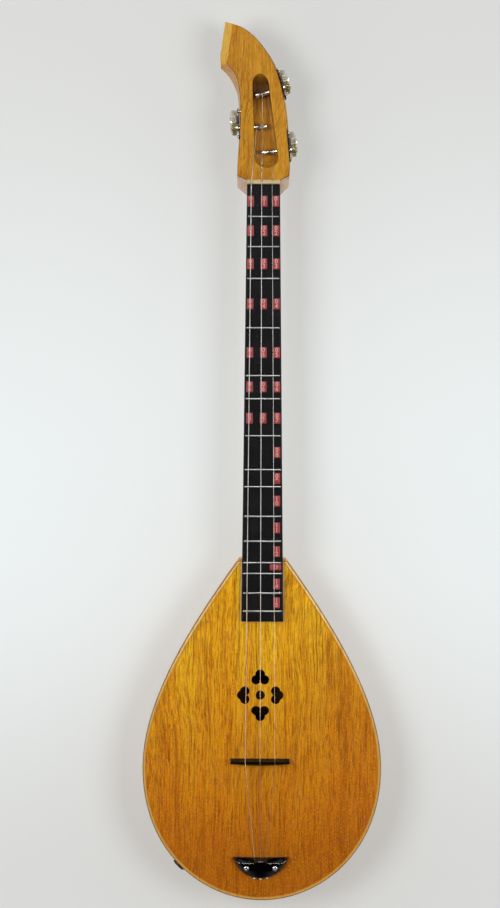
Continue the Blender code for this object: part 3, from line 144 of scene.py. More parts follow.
class Value:
    """A shader value that takes part in ordinary maths."""

    def __init__(self, paint: "Paint", socket: bpy.types.NodeSocket) -> None:
        """Holds the paint that the value belongs to and the socket that gives it."""
        self.paint = paint
        self.socket = socket

    def _maths(self, operation: str, *others: "Number", swapped: bool = False) -> "Value":
        """Adds one Math node.

        Args:
            operation: The node's operation.
            others: The other values that it takes.
            swapped: Whether the other value comes first.

        Returns:
            The result.
        """
        values = (*others, self) if swapped else (self, *others)
        return self.paint.node("ShaderNodeMath", {"operation": operation}, dict(enumerate(values)))

    def __add__(self, other: "Number") -> "Value":
        """The sum."""
        return self._maths("ADD", other)

    __radd__ = __add__

    def __sub__(self, other: "Number") -> "Value":
        """The difference."""
        return self._maths("SUBTRACT", other)

    def __rsub__(self, other: "Number") -> "Value":
        """The difference, the other way round."""
        return self._maths("SUBTRACT", other, swapped=True)

    def __mul__(self, other: "Number") -> "Value":
        """The product."""
        return self._maths("MULTIPLY", other)

    __rmul__ = __mul__

    def __abs__(self) -> "Value":
        """The value without its sign."""
        return self._maths("ABSOLUTE")

    def wave(self) -> "Value":
        """The sine of the value."""
        return self._maths("SINE")

    def ramp(self, low: float, high: float) -> "Value":
        """Runs from 0 at one value to 1 at the other, and stays there outside them.

        Args:
            low: Where the result is 0.
            high: Where the result is 1.

        Returns:
            The share between them.
        """
        settings = {"interpolation_type": "SMOOTHSTEP"}
        values = {"Value": self, "From Min": low, "From Max": high}
        return self.paint.node("ShaderNodeMapRange", settings, values)


Number = Union[Value, float]


class Paint:
    """The nodes of one material, or of the room, under construction."""

    def __init__(self, owner: Union[bpy.types.Material, bpy.types.World]) -> None:
        """Starts with no nodes in the material or room."""
        owner.use_nodes = True
        self.owner = owner
        self.tree = owner.node_tree
        self.tree.nodes.clear()

    @classmethod
    def new(cls, kind: Kind) -> "Paint":
        """Starts the material of a kind of finish."""
        return cls(bpy.data.materials.new(kind.value))

    def node(
        self,
        kind: str,
        settings: dict[str, object],
        values: dict[int | str, object],
        output: int | str = 0,
    ) -> Value:
        """Adds any node.

        Args:
            kind: The node's type.
            settings: Its own settings, which are set first.
            values: The values or links of its sockets, by name or number.
            output: The socket that gives the result.

        Returns:
            The result.
        """
        node = self.tree.nodes.new(kind)
        for name, setting in settings.items():
            setattr(node, name, setting)
        for key, value in values.items():
            if isinstance(value, Value):
                self.tree.links.new(value.socket, node.inputs[key])
            else:
                node.inputs[key].default_value = value
        return Value(self, node.outputs[output])

    def place(self, stretch: tuple[float, float, float] = (1.0, 1.0, 1.0)) -> Value:
        """The place on the piece, in metres, stretched along its axes."""
        spot = self.node("ShaderNodeTexCoord", {}, {}, "Object")
        return self.scaled(spot, stretch)

    def scaled(self, spot: Value, stretch: tuple[float, float, float]) -> Value:
        """A place stretched along its axes."""
        return self.node("ShaderNodeVectorMath", {"operation": "MULTIPLY"}, {0: spot, 1: stretch})

    def along(self, way: Way) -> Value:
        """The place along one direction, in metres."""
        return self.node("ShaderNodeVectorMath", {"operation": "DOT_PRODUCT"}, {0: self.place(), 1: way}, 1)

    def shifted(self, spot: Value, by: Value, amount: tuple[float, float, float]) -> Value:
        """Moves a place by a value along a direction."""
        settings = {"operation": "MULTIPLY_ADD"}
        return self.node("ShaderNodeVectorMath", settings, {0: by, 1: amount, 2: spot})

    def noise(self, spot: Value, scale: float, detail: float = 2.0, rough: float = 0.5) -> Value:
        """A cloudy value between 0 and 1.

        Args:
            spot: The place.
            scale: How many clouds there are to a metre.
            detail: How many finer layers it has.
            rough: How strong those are.

        Returns:
            The value.
        """
        values = {"Vector": spot, "Scale": scale, "Detail": detail, "Roughness": rough}
        return self.node("ShaderNodeTexNoise", {}, values)

    def mixed(self, share: Number, first: object, second: object) -> Value:
        """A colour between two others.

        Args:
            share: 0 for the first and 1 for the second.
            first: A colour or a link.
            second: A colour or a link.

        Returns:
            The colour.
        """
        ends = [(*c, 1.0) if isinstance(c, tuple) else c for c in (first, second)]
        values = {0: share, 6: ends[0], 7: ends[1]}
        return self.node("ShaderNodeMix", {"data_type": "RGBA"}, values, 2)

    def bump(self, height: Value, depth: float, strength: float = 1.0) -> Value:
        """A surface that rises and falls with a value, as deep as given in metres."""
        return self.node("ShaderNodeBump", {}, {"Height": height, "Distance": depth, "Strength": strength})

    def close(self, shader: Value) -> None:
        """Gives the material or room its shader."""
        kind = "World" if isinstance(self.owner, bpy.types.World) else "Material"
        output = self.tree.nodes.new(f"ShaderNodeOutput{kind}")
        self.tree.links.new(shader.socket, output.inputs["Surface"])

    def done(self, colour: object, gloss: Number, **more: object) -> bpy.types.Material:
        """Closes the material with its shader.

        Args:
            colour: The base colour or its link.
            gloss: The roughness.
            more: Other sockets of the shader, by name with underscores for spaces.

        Returns:
            The material.
        """
        base = (*colour, 1.0) if isinstance(colour, tuple) else colour
        values = {"Base Color": base, "Roughness": gloss}
        values.update({name.replace("_", " "): value for name, value in more.items()})
        self.close(self.node("ShaderNodeBsdfPrincipled", {}, values))
        return self.owner


@dataclass(frozen=True)
class Fade:
    """A share that comes in along a direction of the instrument."""

    way: Way
    clear: float
    full: float

    def share(self, paint: Paint) -> Value:
        """The share at each place, from 0 to 1."""
        return paint.along(self.way).ramp(self.clear, self.full)


@dataclass(frozen=True)
class Wash:
    """A tint that lies where all its fades come in."""

    colour: Colour
    amount: float
    fades: tuple[Fade, ...]

    def over(self, paint: Paint, colour: Value) -> Value:
        """Lays the tint over a colour."""
        share = self.fades[0].share(paint) * self.amount
        for fade in self.fades[1:]:
            share = share * fade.share(paint)
        return paint.mixed(share, colour, self.colour)


@dataclass(frozen=True)
class Streak:
    """A single dark streak of the grain, at a distance from the centre line, between two Y.

    Its lean is how far it moves across for each metre from its lower end.
    """

    x: float
    low: float
    high: float
    half_width: float
    amount: float
    lean: float = 0.0

    def share(self, paint: Paint, drift: Value) -> Value:
        """How strong the streak is at each place.

        Args:
            paint: The material.
            drift: How far the grain wanders there, in metres.

        Returns:
            The share of the dark colour.
        """
        along = paint.along(Axis.ALONG.value)
        middle = (along - self.low) * self.lean + self.x
        across = abs(paint.along(Axis.ACROSS.value) + drift - middle)
        fade = (self.high - self.low) * 0.25
        ends = along.ramp(self.low, self.low + fade) * along.ramp(self.high, self.high - fade)
        return across.ramp(self.half_width, 0.0) * ends * self.amount


@dataclass(frozen=True)
class Finish:
    """A finish that is ready to use, and the record's slot that it belongs to."""

    material: bpy.types.Material
    slot: str


@dataclass(frozen=True)
class Wood:
    """Lacquered wood with growth bands, threads, pores and a figure."""

    kind: Kind
    slot: str
    pale: Colour
    middle: Colour
    dark: Colour
    pore: Colour
    grain: Grain = Grain.LENGTHWAYS
    gloss: float = 0.3
    shine: float = 0.35
    coat: float = 0.04
    bands: float = 0.4
    threads: float = 0.3
    pores: float = 0.4
    figure: float = 0.0
    speckle: float = 0.2
    wander: float = 0.016
    pore_depth: float = 0.00003
    washes: tuple[Wash, ...] = ()
    streaks: tuple[Streak, ...] = ()

    def fibres(self, paint: Paint, spot: Value, scale: float, length: float, detail: float) -> Value:
        """A pattern that is drawn out along the grain.

        Args:
            paint: The material.
            spot: The place.
            scale: How many fibres there are to a metre across the grain.
            length: How closely they repeat along the grain, compared with across it.
            detail: How many finer layers it has.

        Returns:
            The value, between 0 and 1.
        """
        stretch = tuple(length if way else 1.0 for way in self.grain.value)
        return paint.noise(paint.scaled(spot, stretch), scale, detail, 0.55)

    def make(self) -> Finish:
        """Builds the material.

        Returns:
            The finish.
        """
        paint = Paint.new(self.kind)
        spot = paint.place()
        drift = (paint.noise(paint.place((1.0, 0.5, 1.0)), 14.0, 2.0) - 0.5) * self.wander
        drifted = paint.shifted(spot, drift, (1.0, 0.0, 0.6))
        bands = self.fibres(paint, drifted, 90.0, 0.035, 2.0)
        streaks = self.fibres(paint, drifted, 300.0, 0.02, 2.0)
        threads = self.fibres(paint, drifted, 820.0, 0.035, 2.0)
        hairs = self.fibres(paint, drifted, 1900.0, 0.04, 1.0)
        dashes = self.fibres(paint, drifted, 1250.0, 0.10, 1.0)
        curls = self.fibres(paint, drifted, 95.0, 0.5, 3.0)
        ripples = self.fibres(paint, drifted, 520.0, 0.32, 2.0)

        colour = paint.mixed(bands.ramp(0.36, 0.66), self.middle, self.pale)
        colour = paint.mixed(streaks.ramp(0.48, 0.68) * self.bands, colour, self.dark)
        if self.figure:
            soft = self.figure * 0.6
            colour = paint.mixed(curls.ramp(0.48, 0.7) * self.figure, colour, self.pale)
            colour = paint.mixed(curls.ramp(0.47, 0.28) * soft, colour, self.dark)
            colour = paint.mixed(ripples.ramp(0.5, 0.66) * self.figure, colour, self.pale)
            colour = paint.mixed(ripples.ramp(0.48, 0.34) * soft, colour, self.dark)
        colour = paint.mixed(threads.ramp(0.48, 0.32) * (self.threads * 0.5), colour, self.pale)
        for wash in self.washes:
            colour = wash.over(paint, colour)
        for streak in self.streaks:
            colour = paint.mixed(streak.share(paint, drift), colour, self.pore)
        colour = paint.mixed(streaks.ramp(0.5, 0.68) * (self.threads * 0.36), colour, self.pore)
        colour = paint.mixed(threads.ramp(0.5, 0.68) * self.threads, colour, self.pore)
        colour = paint.mixed(hairs.ramp(0.5, 0.7) * self.threads, colour, self.pore)
        specks = paint.noise(paint.scaled(spot, (1.0, 0.5, 1.0)), 1000.0, 2.0, 0.6)
        colour = paint.mixed(specks.ramp(0.5, 0.72) * self.speckle, colour, self.pale)
        colour = paint.mixed(specks.ramp(0.5, 0.28) * self.speckle, colour, self.pore)
        pores = dashes.ramp(0.58, 0.68)
        colour = paint.mixed(pores * self.pores, colour, self.pore)

        smears = paint.noise(spot, 46.0, 3.0, 0.65)
        gloss = smears * 0.14 + (self.gloss - 0.07) + pores * 0.08
        material = paint.done(
            colour,
            gloss,
            Normal=paint.bump(hairs * 0.35 - pores, self.pore_depth, 0.6),
            Coat_Weight=self.coat,
            Coat_Roughness=0.12,
            Specular_IOR_Level=self.shine,
        )
        return Finish(material, self.slot)


@dataclass(frozen=True)
class Lacquer:
    """A dark glossy coat with fine scratches and dust, under washes such as a painted sheen on its edges."""

    kind: Kind
    slot: str
    colour: Colour
    worn: Colour
    gloss: float = 0.16
    shine: float = 0.4
    grain: float = 0.0
    dust: float = 0.0
    washes: tuple[Wash, ...] = ()

    def make(self) -> Finish:
        """Builds the material.

        Returns:
            The finish.
        """
        paint = Paint.new(self.kind)
        spot = paint.place()
        clouds = paint.noise(spot, 60.0, 3.0, 0.6)
        fibres = paint.noise(paint.place((1.0, 0.035, 1.0)), 1500.0, 2.0)
        scratches = paint.noise(paint.place((0.06, 1.0, 1.0)), 900.0, 1.0).ramp(0.66, 0.74)
        specks = paint.noise(spot, 950.0, 1.0).ramp(0.74, 0.8)
        colour = paint.mixed(clouds.ramp(0.45, 0.8) * 0.35, self.colour, self.worn)
        colour = paint.mixed(fibres.ramp(0.5, 0.8) * self.grain, colour, self.worn)
        colour = paint.mixed(specks * self.dust, colour, tone(150, 148, 142))
        for wash in self.washes:
            colour = wash.over(paint, colour)
        gloss = clouds * 0.16 + scratches * 0.12 + (self.gloss - 0.06)
        height = fibres * self.grain - scratches * 0.4
        normal = paint.bump(height, 0.00002, 0.5)
        material = paint.done(colour, gloss, Normal=normal, Specular_IOR_Level=self.shine)
        return Finish(material, self.slot)


@dataclass(frozen=True)
class Metal:
    """Metal with handling marks and dull oxidised blotches, and painted shade in the grooves of a winding."""

    kind: Kind
    slot: str
    colour: Colour
    tarnish_and_groove_shade: Colour
    gloss: float = 0.26
    age: float = 0.5
    winding: float = 0.0
    washes: tuple[Wash, ...] = ()

    def make(self) -> Finish:
        """Builds the material.

        Returns:
            The finish.
        """
        paint = Paint.new(self.kind)
        blotches = paint.noise(paint.place(), 260.0, 3.0, 0.65)
        lines = paint.noise(paint.place((1.0, 0.04, 0.25)), 5200.0, 2.0)
        colour = paint.mixed(blotches.ramp(0.44, 0.72) * self.age, self.colour, self.tarnish_and_groove_shade)
        for wash in self.washes:
            colour = wash.over(paint, colour)
        gloss = blotches * 0.22 + lines * 0.1 + (self.gloss - 0.14)
        normal = paint.bump(lines, 0.000012, 0.5)
        if self.winding:
            wraps = (paint.along(Axis.ALONG.value) * (2 * math.pi / self.winding)).wave()
            # Painted shade: the grooves between the wraps darkened.
            colour = paint.mixed(wraps.ramp(-0.2, -1.0) * 0.5, colour, self.tarnish_and_groove_shade)
            normal = paint.bump(wraps, self.winding * 0.1)
        return Finish(paint.done(colour, gloss, Metallic=1.0, Normal=normal), self.slot)


@dataclass(frozen=True)
class Plastic:
    """Moulded or polished plastic, bone or paper, with soft mottling."""

    kind: Kind
    slot: str
    colour: Colour
    mottle: Colour
    gloss: float = 0.35
    size: float = 120.0
    amount: float = 0.5
    coat: float = 0.0
    washes: tuple[Wash, ...] = ()

    def make(self) -> Finish:
        """Builds the material.

        Returns:
            The finish.
        """
        paint = Paint.new(self.kind)
        spot = paint.place()
        clouds = paint.noise(spot, self.size, 4.0, 0.6)
        specks = paint.noise(spot, self.size * 14, 2.0)
        colour = paint.mixed(clouds.ramp(0.35, 0.7) * self.amount, self.colour, self.mottle)
        colour = paint.mixed(specks.ramp(0.6, 0.8) * self.amount * 0.4, colour, self.mottle)
        for wash in self.washes:
            colour = wash.over(paint, colour)
        gloss = clouds * 0.18 + (self.gloss - 0.09)
        normal = paint.bump(specks, 0.00002, 0.35)
        material = paint.done(colour, gloss, Normal=normal, Coat_Weight=self.coat, Coat_Roughness=0.1)
        return Finish(material, self.slot)


def across(clear: float, full: float) -> Fade:
    """A fade from one distance right of the centre line to another."""
    return Fade(Axis.ACROSS.value, clear, full)


def along(clear: float, full: float) -> Fade:
    """A fade from one Y to another."""
    return Fade(Axis.ALONG.value, clear, full)


def up(clear: float, full: float) -> Fade:
    """A fade from one height to another."""
    return Fade(Axis.UP.value, clear, full)


def make_woods() -> tuple[Wood, ...]:
    """Lists the woods.

    Returns:
        Their recipes.
    """
    within = (across(-0.016, -0.012), across(0.017, 0.013))
    return (
        Wood(
            Kind.TOP,
            "top_wood",
            tone(254, 202, 34),
            tone(246, 174, 20),
            tone(192, 112, 10),
            tone(120, 56, 4),
            gloss=0.24,
            bands=0.45,
            threads=0.62,
            speckle=0.26,
            pores=0.4,
            figure=0.42,
            washes=(
                # Painted shade with a real sunburst stain: the top darkens towards the tail, towards the treble
                # side, and at the bass edge of the lower body, where less light falls.
                Wash(tone(192, 94, 8), 0.82, (along(-0.08, -0.40),)),
                Wash(tone(190, 100, 12), 0.45, (across(0.0, 0.10), along(-0.12, -0.24))),
                Wash(tone(176, 88, 10), 0.12, (across(0.0, 0.10),)),
                Wash(tone(148, 68, 6), 0.45, (along(-0.32, -0.42),)),
                Wash(tone(178, 88, 10), 0.12, (across(-0.07, -0.115), along(-0.16, -0.26))),
            ),
            streaks=(
                Streak(-0.0525, -0.30, -0.155, 0.0022, 0.4, -0.03),
                Streak(-0.0660, -0.173, -0.160, 0.0100, 0.35, 0.9),
                Streak(-0.086, -0.375, -0.245, 0.0026, 0.5),
                Streak(-0.047, -0.40, -0.29, 0.0013, 0.5),
                Streak(-0.060, -0.46, -0.32, 0.0016, 0.4),
                Streak(0.056, -0.235, -0.135, 0.0011, 0.6),
                Streak(-0.005, -0.30, -0.175, 0.0012, 0.45),
                Streak(0.083, -0.40, -0.20, 0.0030, 0.3),
                Streak(0.020, -0.42, -0.31, 0.0018, 0.4),
            ),
        ),
        Wood(
            Kind.BODY,
            "body_wood",
            tone(224, 158, 40),
            tone(196, 120, 22),
            tone(140, 74, 12),
            tone(96, 46, 8),
            washes=(
                # The wall's top edge: pale partly from its end grain and partly as a painted highlight; darker
                # towards the tail as painted shade.
                Wash(tone(236, 164, 34), 0.85, (up(0.0562, 0.0576),)),
                Wash(tone(196, 112, 18), 0.85, (up(0.0562, 0.0576), along(-0.10, -0.38))),
                # Painted shade: the inside of the bowl below the sound holes, darkened nearly to black.
                Wash(
                    tone(30, 16, 8),
                    0.92,
                    (
                        up(0.0010, 0.0025),
                        up(0.0560, 0.0550),
                        across(-0.065, -0.055),
                        across(0.065, 0.055),
                        along(-0.17, -0.19),
                        along(-0.34, -0.31),
                    ),
                ),
            ),
        ),
        Wood(
            Kind.NECK,
            "neck_wood",
            tone(212, 154, 46),
            tone(184, 124, 30),
            tone(132, 78, 14),
            tone(92, 48, 8),
        ),
        Wood(
            Kind.HEAD,
            "neck_wood",
            tone(210, 150, 42),
            tone(190, 126, 30),
            tone(146, 84, 16),
            tone(108, 58, 14),
            bands=0.35,
            threads=0.35,
            figure=0.28,
            shine=0.12,
            coat=0.0,
            wander=0.030,
            washes=(
                # Painted shade: a dark band on the rounded upper edge of the head's sides.
                Wash(tone(60, 38, 16), 0.9, (up(0.05798, 0.0578), up(0.0569, 0.0572))),
                Wash(tone(222, 164, 48), 0.3, (along(0.370, 0.350), along(0.285, 0.295))),
                # The tip's facet in bright gold: partly end grain, partly painted light where it faces the lamp.
                Wash(tone(236, 180, 16), 0.92, (up(0.05798, 0.0578), along(0.395, 0.40), across(-0.02, -0.03))),
                # Painted highlight: paler side faces along the bass cheek of the head.
                Wash(tone(200, 154, 106), 0.65, (up(0.0578, 0.0568), along(0.40, 0.385), across(-0.012, -0.016))),
                # Painted reflection: a pale pinkish sheen on the sides near the nut.
                Wash(tone(226, 208, 192), 0.85, (up(0.0578, 0.0568), along(0.285, 0.279))),
                # Painted shade: the slot's walls and floor darkened, most of all at its upper end.
                Wash(tone(96, 48, 14), 0.5, (up(0.0568, 0.0500), *within, along(0.345, 0.365))),
                Wash(
                    tone(48, 18, 8),
                    0.6,
                    (up(0.0568, 0.0540), *within, along(0.360, 0.367), along(0.384, 0.378)),
                ),
            ),
            streaks=(
                Streak(-0.0235, 0.36, 0.44, 0.0008, 0.4),
                Streak(-0.0185, 0.32, 0.43, 0.0014, 0.35),
                Streak(-0.0160, 0.28, 0.33, 0.0008, 0.25),
                Streak(0.0165, 0.28, 0.33, 0.0010, 0.3),
                Streak(0.0020, 0.335, 0.375, 0.0012, 0.35, 0.55),
                Streak(0.0050, 0.325, 0.360, 0.0009, 0.35, 0.5),
                Streak(0.0100, 0.315, 0.345, 0.0008, 0.3, 0.45),
            ),
        ),
        Wood(
            Kind.BRACE,
            "brace_wood",
            tone(222, 196, 150),
            tone(206, 176, 128),
            tone(166, 128, 84),
            tone(140, 100, 60),
            grain=Grain.CROSSWAYS,
            gloss=0.7,
            coat=0.0,
        ),
        Wood(
            Kind.BRIDGE,
            "bridge_wood",
            tone(12, 8, 6),
            tone(8, 5, 4),
            tone(5, 3, 2),
            tone(3, 2, 2),
            grain=Grain.CROSSWAYS,
            gloss=0.3,
            shine=0.04,
            coat=0.0,
        ),
        Wood(
            Kind.VENEER,
            "neck_wood",
            tone(232, 188, 118),
            tone(224, 172, 98),
            tone(190, 136, 66),
            tone(160, 110, 50),
            gloss=0.5,
        ),
        # Painted highlight: the pale band round the top's rounded edge, dimmer towards the tail.
        Wood(
            Kind.BINDING,
            "body_wood",
            tone(250, 220, 150),
            tone(240, 202, 124),
            tone(206, 156, 76),
            tone(170, 118, 50),
            gloss=0.4,
            washes=(Wash(tone(194, 140, 40), 0.9, (along(-0.10, -0.32),)),),
        ),
        # Painted shade: the dark line along the outside of the rim, where the rounded edge turns away from the
        # light.
        Wood(
            Kind.RIM_LINE,
            "body_wood",
            tone(136, 106, 66),
            tone(122, 94, 56),
            tone(96, 70, 38),
            tone(70, 50, 26),
            gloss=0.4,
        ),
        Wood(
            Kind.SEAM,
            "body_wood",
            tone(176, 114, 44),
            tone(160, 98, 34),
            tone(120, 70, 22),
            tone(90, 48, 14),
            gloss=0.4,
        ),
    )


def make_metals() -> tuple[Metal, ...]:
    """Lists the metals.

    Returns:
        Their recipes.
    """
    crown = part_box("fret_01")[1].z
    # Painted shade: the fret's flanks below the crown darkened, where they face away from the light and mirror
    # the black board.
    foot = Wash(tone(40, 38, 36), 0.9, (up(crown - 0.0001, crown - 0.0005),))
    # Painted reflection: the strings over the body tinted with the orange of the top.
    wood_reflection = Wash(tone(232, 190, 130), 0.6, (along(-0.12, -0.17),))
    # Painted shade and wood reflection: the strings darker and browner over the head and in its slot.
    slot_shade = Wash(tone(130, 84, 40), 0.6, (along(0.280, 0.300),))
    return (
        Metal(
            Kind.FRET,
            "fret_metal",
            tone(164, 164, 160),
            tone(118, 116, 110),
            gloss=0.28,
            age=0.5,
            washes=(foot,),
        ),
        Metal(Kind.SCREW, "screw_steel", tone(178, 176, 174), tone(124, 120, 116), gloss=0.22),
        Metal(
            Kind.STRING,
            "string_steel",
            tone(206, 206, 204),
            tone(160, 158, 152),
            gloss=0.28,
            washes=(wood_reflection, slot_shade),
        ),
        Metal(
            Kind.WOUND,
            "string_steel",
            tone(228, 225, 218),
            tone(150, 147, 142),
            gloss=0.3,
            winding=0.0002,
            washes=(wood_reflection, slot_shade),
        ),
        Metal(Kind.BALL, "brass", tone(250, 247, 238), tone(226, 220, 202), gloss=0.5, age=0.2),
        Metal(Kind.NICKEL, "nickel", tone(214, 206, 192), tone(150, 132, 108), gloss=0.24),
        Metal(Kind.BRASS, "brass", tone(160, 150, 108), tone(96, 86, 56), gloss=0.36, age=0.8),
    )


def make_finishes() -> dict[Kind, Finish]:
    """Makes every finish.

    Returns:
        The finishes by kind.
    """
    board_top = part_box("fretboard")[1].z
    # Painted sheen: the board's chamfered edges greyer, as they catch the light.
    edge_sheen = Wash(tone(64, 62, 60), 0.5, (up(board_top - 0.0002, board_top - 0.0008),))
    # Painted shade: the nut's front part darker, where its face lies in shade.
    nut_front_shade = Wash(tone(186, 168, 118), 0.7, (along(NUT_Y + 0.0022, NUT_Y + 0.0010),))
    recipes = (
        *make_woods(),
        *make_metals(),
        Lacquer(
            Kind.BOARD,
            "board_black",
            tone(9, 8, 11),
            tone(24, 22, 26),
            gloss=0.34,
            shine=0.15,
            grain=0.3,
            dust=0.5,
            washes=(edge_sheen,),
        ),
        Lacquer(Kind.TAIL, "tail_black", tone(1, 1, 1), tone(2, 2, 2), gloss=0.06, shine=0.8),
        Plastic(Kind.BONE, "bone", tone(210, 180, 126), tone(172, 142, 92), gloss=0.4, washes=(nut_front_shade,)),
        Plastic(
            Kind.BUTTON,
            "pearl",
            tone(192, 193, 176),
            tone(164, 166, 148),
            gloss=0.24,
            coat=0.4,
        ),
        Plastic(Kind.JACK, "jack_black", tone(18, 17, 16), tone(40, 38, 36), gloss=0.4),
        Plastic(Kind.LEAD, "lead_jacket", tone(24, 24, 25), tone(44, 44, 44), gloss=0.55),
        Plastic(Kind.LABEL, "pearl", tone(156, 28, 30), tone(130, 20, 22), gloss=0.42, amount=0.4),
        Plastic(Kind.INK, "bone", tone(208, 146, 138), tone(186, 118, 112), gloss=0.5),
    )
    return {recipe.kind: recipe.make() for recipe in recipes}


@dataclass(frozen=True)
class Joint:
    """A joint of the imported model: a point on its axis and the axis's direction."""

    spot: Vector
    axis: Vector

    @classmethod
    def named(cls, name: str) -> "Joint":
        """Finds a joint of the record.

        Args:
            name: The joint's name.

        Returns:
            The joint.
        """
        rows = frame["record"]["behaviour"]["joints"]
        row = next(row for row in rows if row["name"] == name)
        return cls(Vector(row["pos_m"]), Vector(row["axis"]).normalized())


@lru_cache(maxsize=None)
def smoothing(limit: int) -> bpy.types.NodeTree:
    """Makes the modifier group that shades a piece smooth, except at its sharp edges.

    Args:
        limit: The widest edge, in degrees, that is shaded smooth.

    Returns:
        The group.
    """
    group = bpy.data.node_groups.new(f"smooth_to_{limit}", "GeometryNodeTree")
    for way in ("INPUT", "OUTPUT"):
        group.interface.new_socket("Geometry", in_out=way, socket_type="NodeSocketGeometry")
    start = group.nodes.new("NodeGroupInput")
    end = group.nodes.new("NodeGroupOutput")
    faces = group.nodes.new("GeometryNodeSetShadeSmooth")
    edges = group.nodes.new("GeometryNodeSetShadeSmooth")
    edges.domain = "EDGE"
    edges.inputs["Shade Smooth"].default_value = False
    angle = group.nodes.new("GeometryNodeInputMeshEdgeAngle")
    sharp = group.nodes.new("FunctionNodeCompare")
    sharp.operation = "GREATER_THAN"
    sharp.inputs[1].default_value = math.radians(limit)
    group.links.new(start.outputs[0], faces.inputs["Geometry"])
    group.links.new(faces.outputs[0], edges.inputs["Geometry"])
    group.links.new(angle.outputs[0], sharp.inputs[0])
    group.links.new(sharp.outputs[0], edges.inputs["Selection"])
    group.links.new(edges.outputs[0], end.inputs[0])
    return group


@lru_cache(maxsize=None)
def marking(limit: int, height: float) -> bpy.types.NodeTree:
    """Makes the modifier group that marks the sharp edges above a height for rounding.

    Args:
        limit: The narrowest edge, in degrees, that is marked.
        height: The height above which an edge is marked.

    Returns:
        The group.
    """
    group = bpy.data.node_groups.new("mark_upper_edges", "GeometryNodeTree")
    for way in ("INPUT", "OUTPUT"):
        group.interface.new_socket("Geometry", in_out=way, socket_type="NodeSocketGeometry")
    start = group.nodes.new("NodeGroupInput")
    end = group.nodes.new("NodeGroupOutput")
    angle = group.nodes.new("GeometryNodeInputMeshEdgeAngle")
    spot = group.nodes.new("GeometryNodeInputPosition")
    parts = group.nodes.new("ShaderNodeSeparateXYZ")
    both = group.nodes.new("FunctionNodeBooleanMath")
    mark = group.nodes.new("GeometryNodeStoreNamedAttribute")
    mark.domain = "EDGE"
    mark.inputs["Name"].default_value = "bevel_weight_edge"
    group.links.new(spot.outputs[0], parts.inputs[0])
    tests = ((angle.outputs[0], math.radians(limit)), (parts.outputs["Z"], height))
    for i, (value, least) in enumerate(tests):
        test = group.nodes.new("FunctionNodeCompare")
        test.operation = "GREATER_THAN"
        test.inputs[1].default_value = least
        group.links.new(value, test.inputs[0])
        group.links.new(test.outputs[0], both.inputs[i])
    group.links.new(start.outputs[0], mark.inputs["Geometry"])
    group.links.new(both.outputs[0], mark.inputs["Value"])
    group.links.new(mark.outputs[0], end.inputs[0])
    return group


def ease(
    piece: bpy.types.Object,
    width: float,
    segments: int,
    limit: int,
    above: Optional[float],
) -> None:
    """Rounds the edges of a piece by modifiers, so that its own mesh stays as it is.

    Args:
        piece: The piece.
        width: How wide the rounding is, or 0 for none.
        segments: How many steps it has.
        limit: The narrowest edge, in degrees, that is rounded.
        above: The height above which edges are rounded, or None for every edge.
    """
    weld = piece.modifiers.new("weld", "WELD")
    weld.merge_threshold = 0.000002
    flat = piece.modifiers.new("flat", "DECIMATE")
    flat.decimate_type = "DISSOLVE"
    flat.angle_limit = math.radians(0.6)
    if above is not None:
        piece.modifiers.new("marks", "NODES").node_group = marking(limit, above)
    if width:
        rounding = piece.modifiers.new("rounding", "BEVEL")
        rounding.width = width
        rounding.segments = segments
        rounding.limit_method = "ANGLE" if above is None else "WEIGHT"
        rounding.angle_limit = math.radians(limit)
        rounding.use_clamp_overlap = above is None
    smooth = piece.modifiers.new("smooth", "NODES")
    smooth.node_group = smoothing(38)
    weighted = piece.modifiers.new("weighted", "WEIGHTED_NORMAL")
    weighted.keep_sharp = True


def dress(
    node: str,
    finish: Finish,
    width: float = 0.0,
    segments: int = 2,
    limit: int = 30,
    above: Optional[float] = None,
) -> None:
    """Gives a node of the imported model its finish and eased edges.

    Args:
        node: The node's name.
        finish: The finish.
        width: How wide its edges are rounded.
        segments: How many steps the rounding has.
        limit: The narrowest edge, in degrees, that is rounded.
        above: The height above which edges are rounded, or None for every edge.
    """
    piece = frame["nodes"][node]
    for slot in piece.material_slots:
        slot.material = finish.material
    ease(piece, width, segments, limit, above)
    LOG.info("dressed %s", node)


def add_piece(
    name: str,
    mesh: bpy.types.Mesh,
    finish: Finish,
    body: str,
    smooth: float = 40.0,
) -> bpy.types.Object:
    """Puts a mesh in the scene as a piece that rides on a body.

    Args:
        name: The piece's name.
        mesh: Its mesh.
        finish: Its finish.
        body: The body that it rides on.
        smooth: The widest edge, in degrees, that is shaded smooth.

    Returns:
        The piece.
    """
    mesh.name = name
    mesh.materials.append(finish.material)
    mesh.shade_smooth()
    mesh.set_sharp_from_angle(angle=math.radians(smooth))
    piece = bpy.data.objects.new(name, mesh)
    bpy.context.scene.collection.objects.link(piece)
    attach(piece, body)
    LOG.info("made %s", name)
    return piece


def loft(rings: Sequence[Sequence[Vector]], closed: bool = False) -> bpy.types.Mesh:
    """A closed surface through rings of points.

    Args:
        rings: The rings, each with the same count of points.
        closed: Whether the last ring joins the first, as in a ring with a bore.

    Returns:
        The mesh.
    """
    shape = bmesh.new()
    rows = [[shape.verts.new(point) for point in ring] for ring in rings]
    pairs = list(zip(rows, rows[1:]))
    if closed:
        pairs.append((rows[-1], rows[0]))
    else:
        shape.faces.new(rows[0])
        shape.faces.new(rows[-1])
    for lower, upper in pairs:
        for i, corner in enumerate(lower):
            j = (i + 1) % len(lower)
            shape.faces.new((corner, lower[j], upper[j], upper[i]))
    bmesh.ops.recalc_face_normals(shape, faces=shape.faces)
    mesh = bpy.data.meshes.new("shape")
    shape.to_mesh(mesh)
    shape.free()
    return mesh


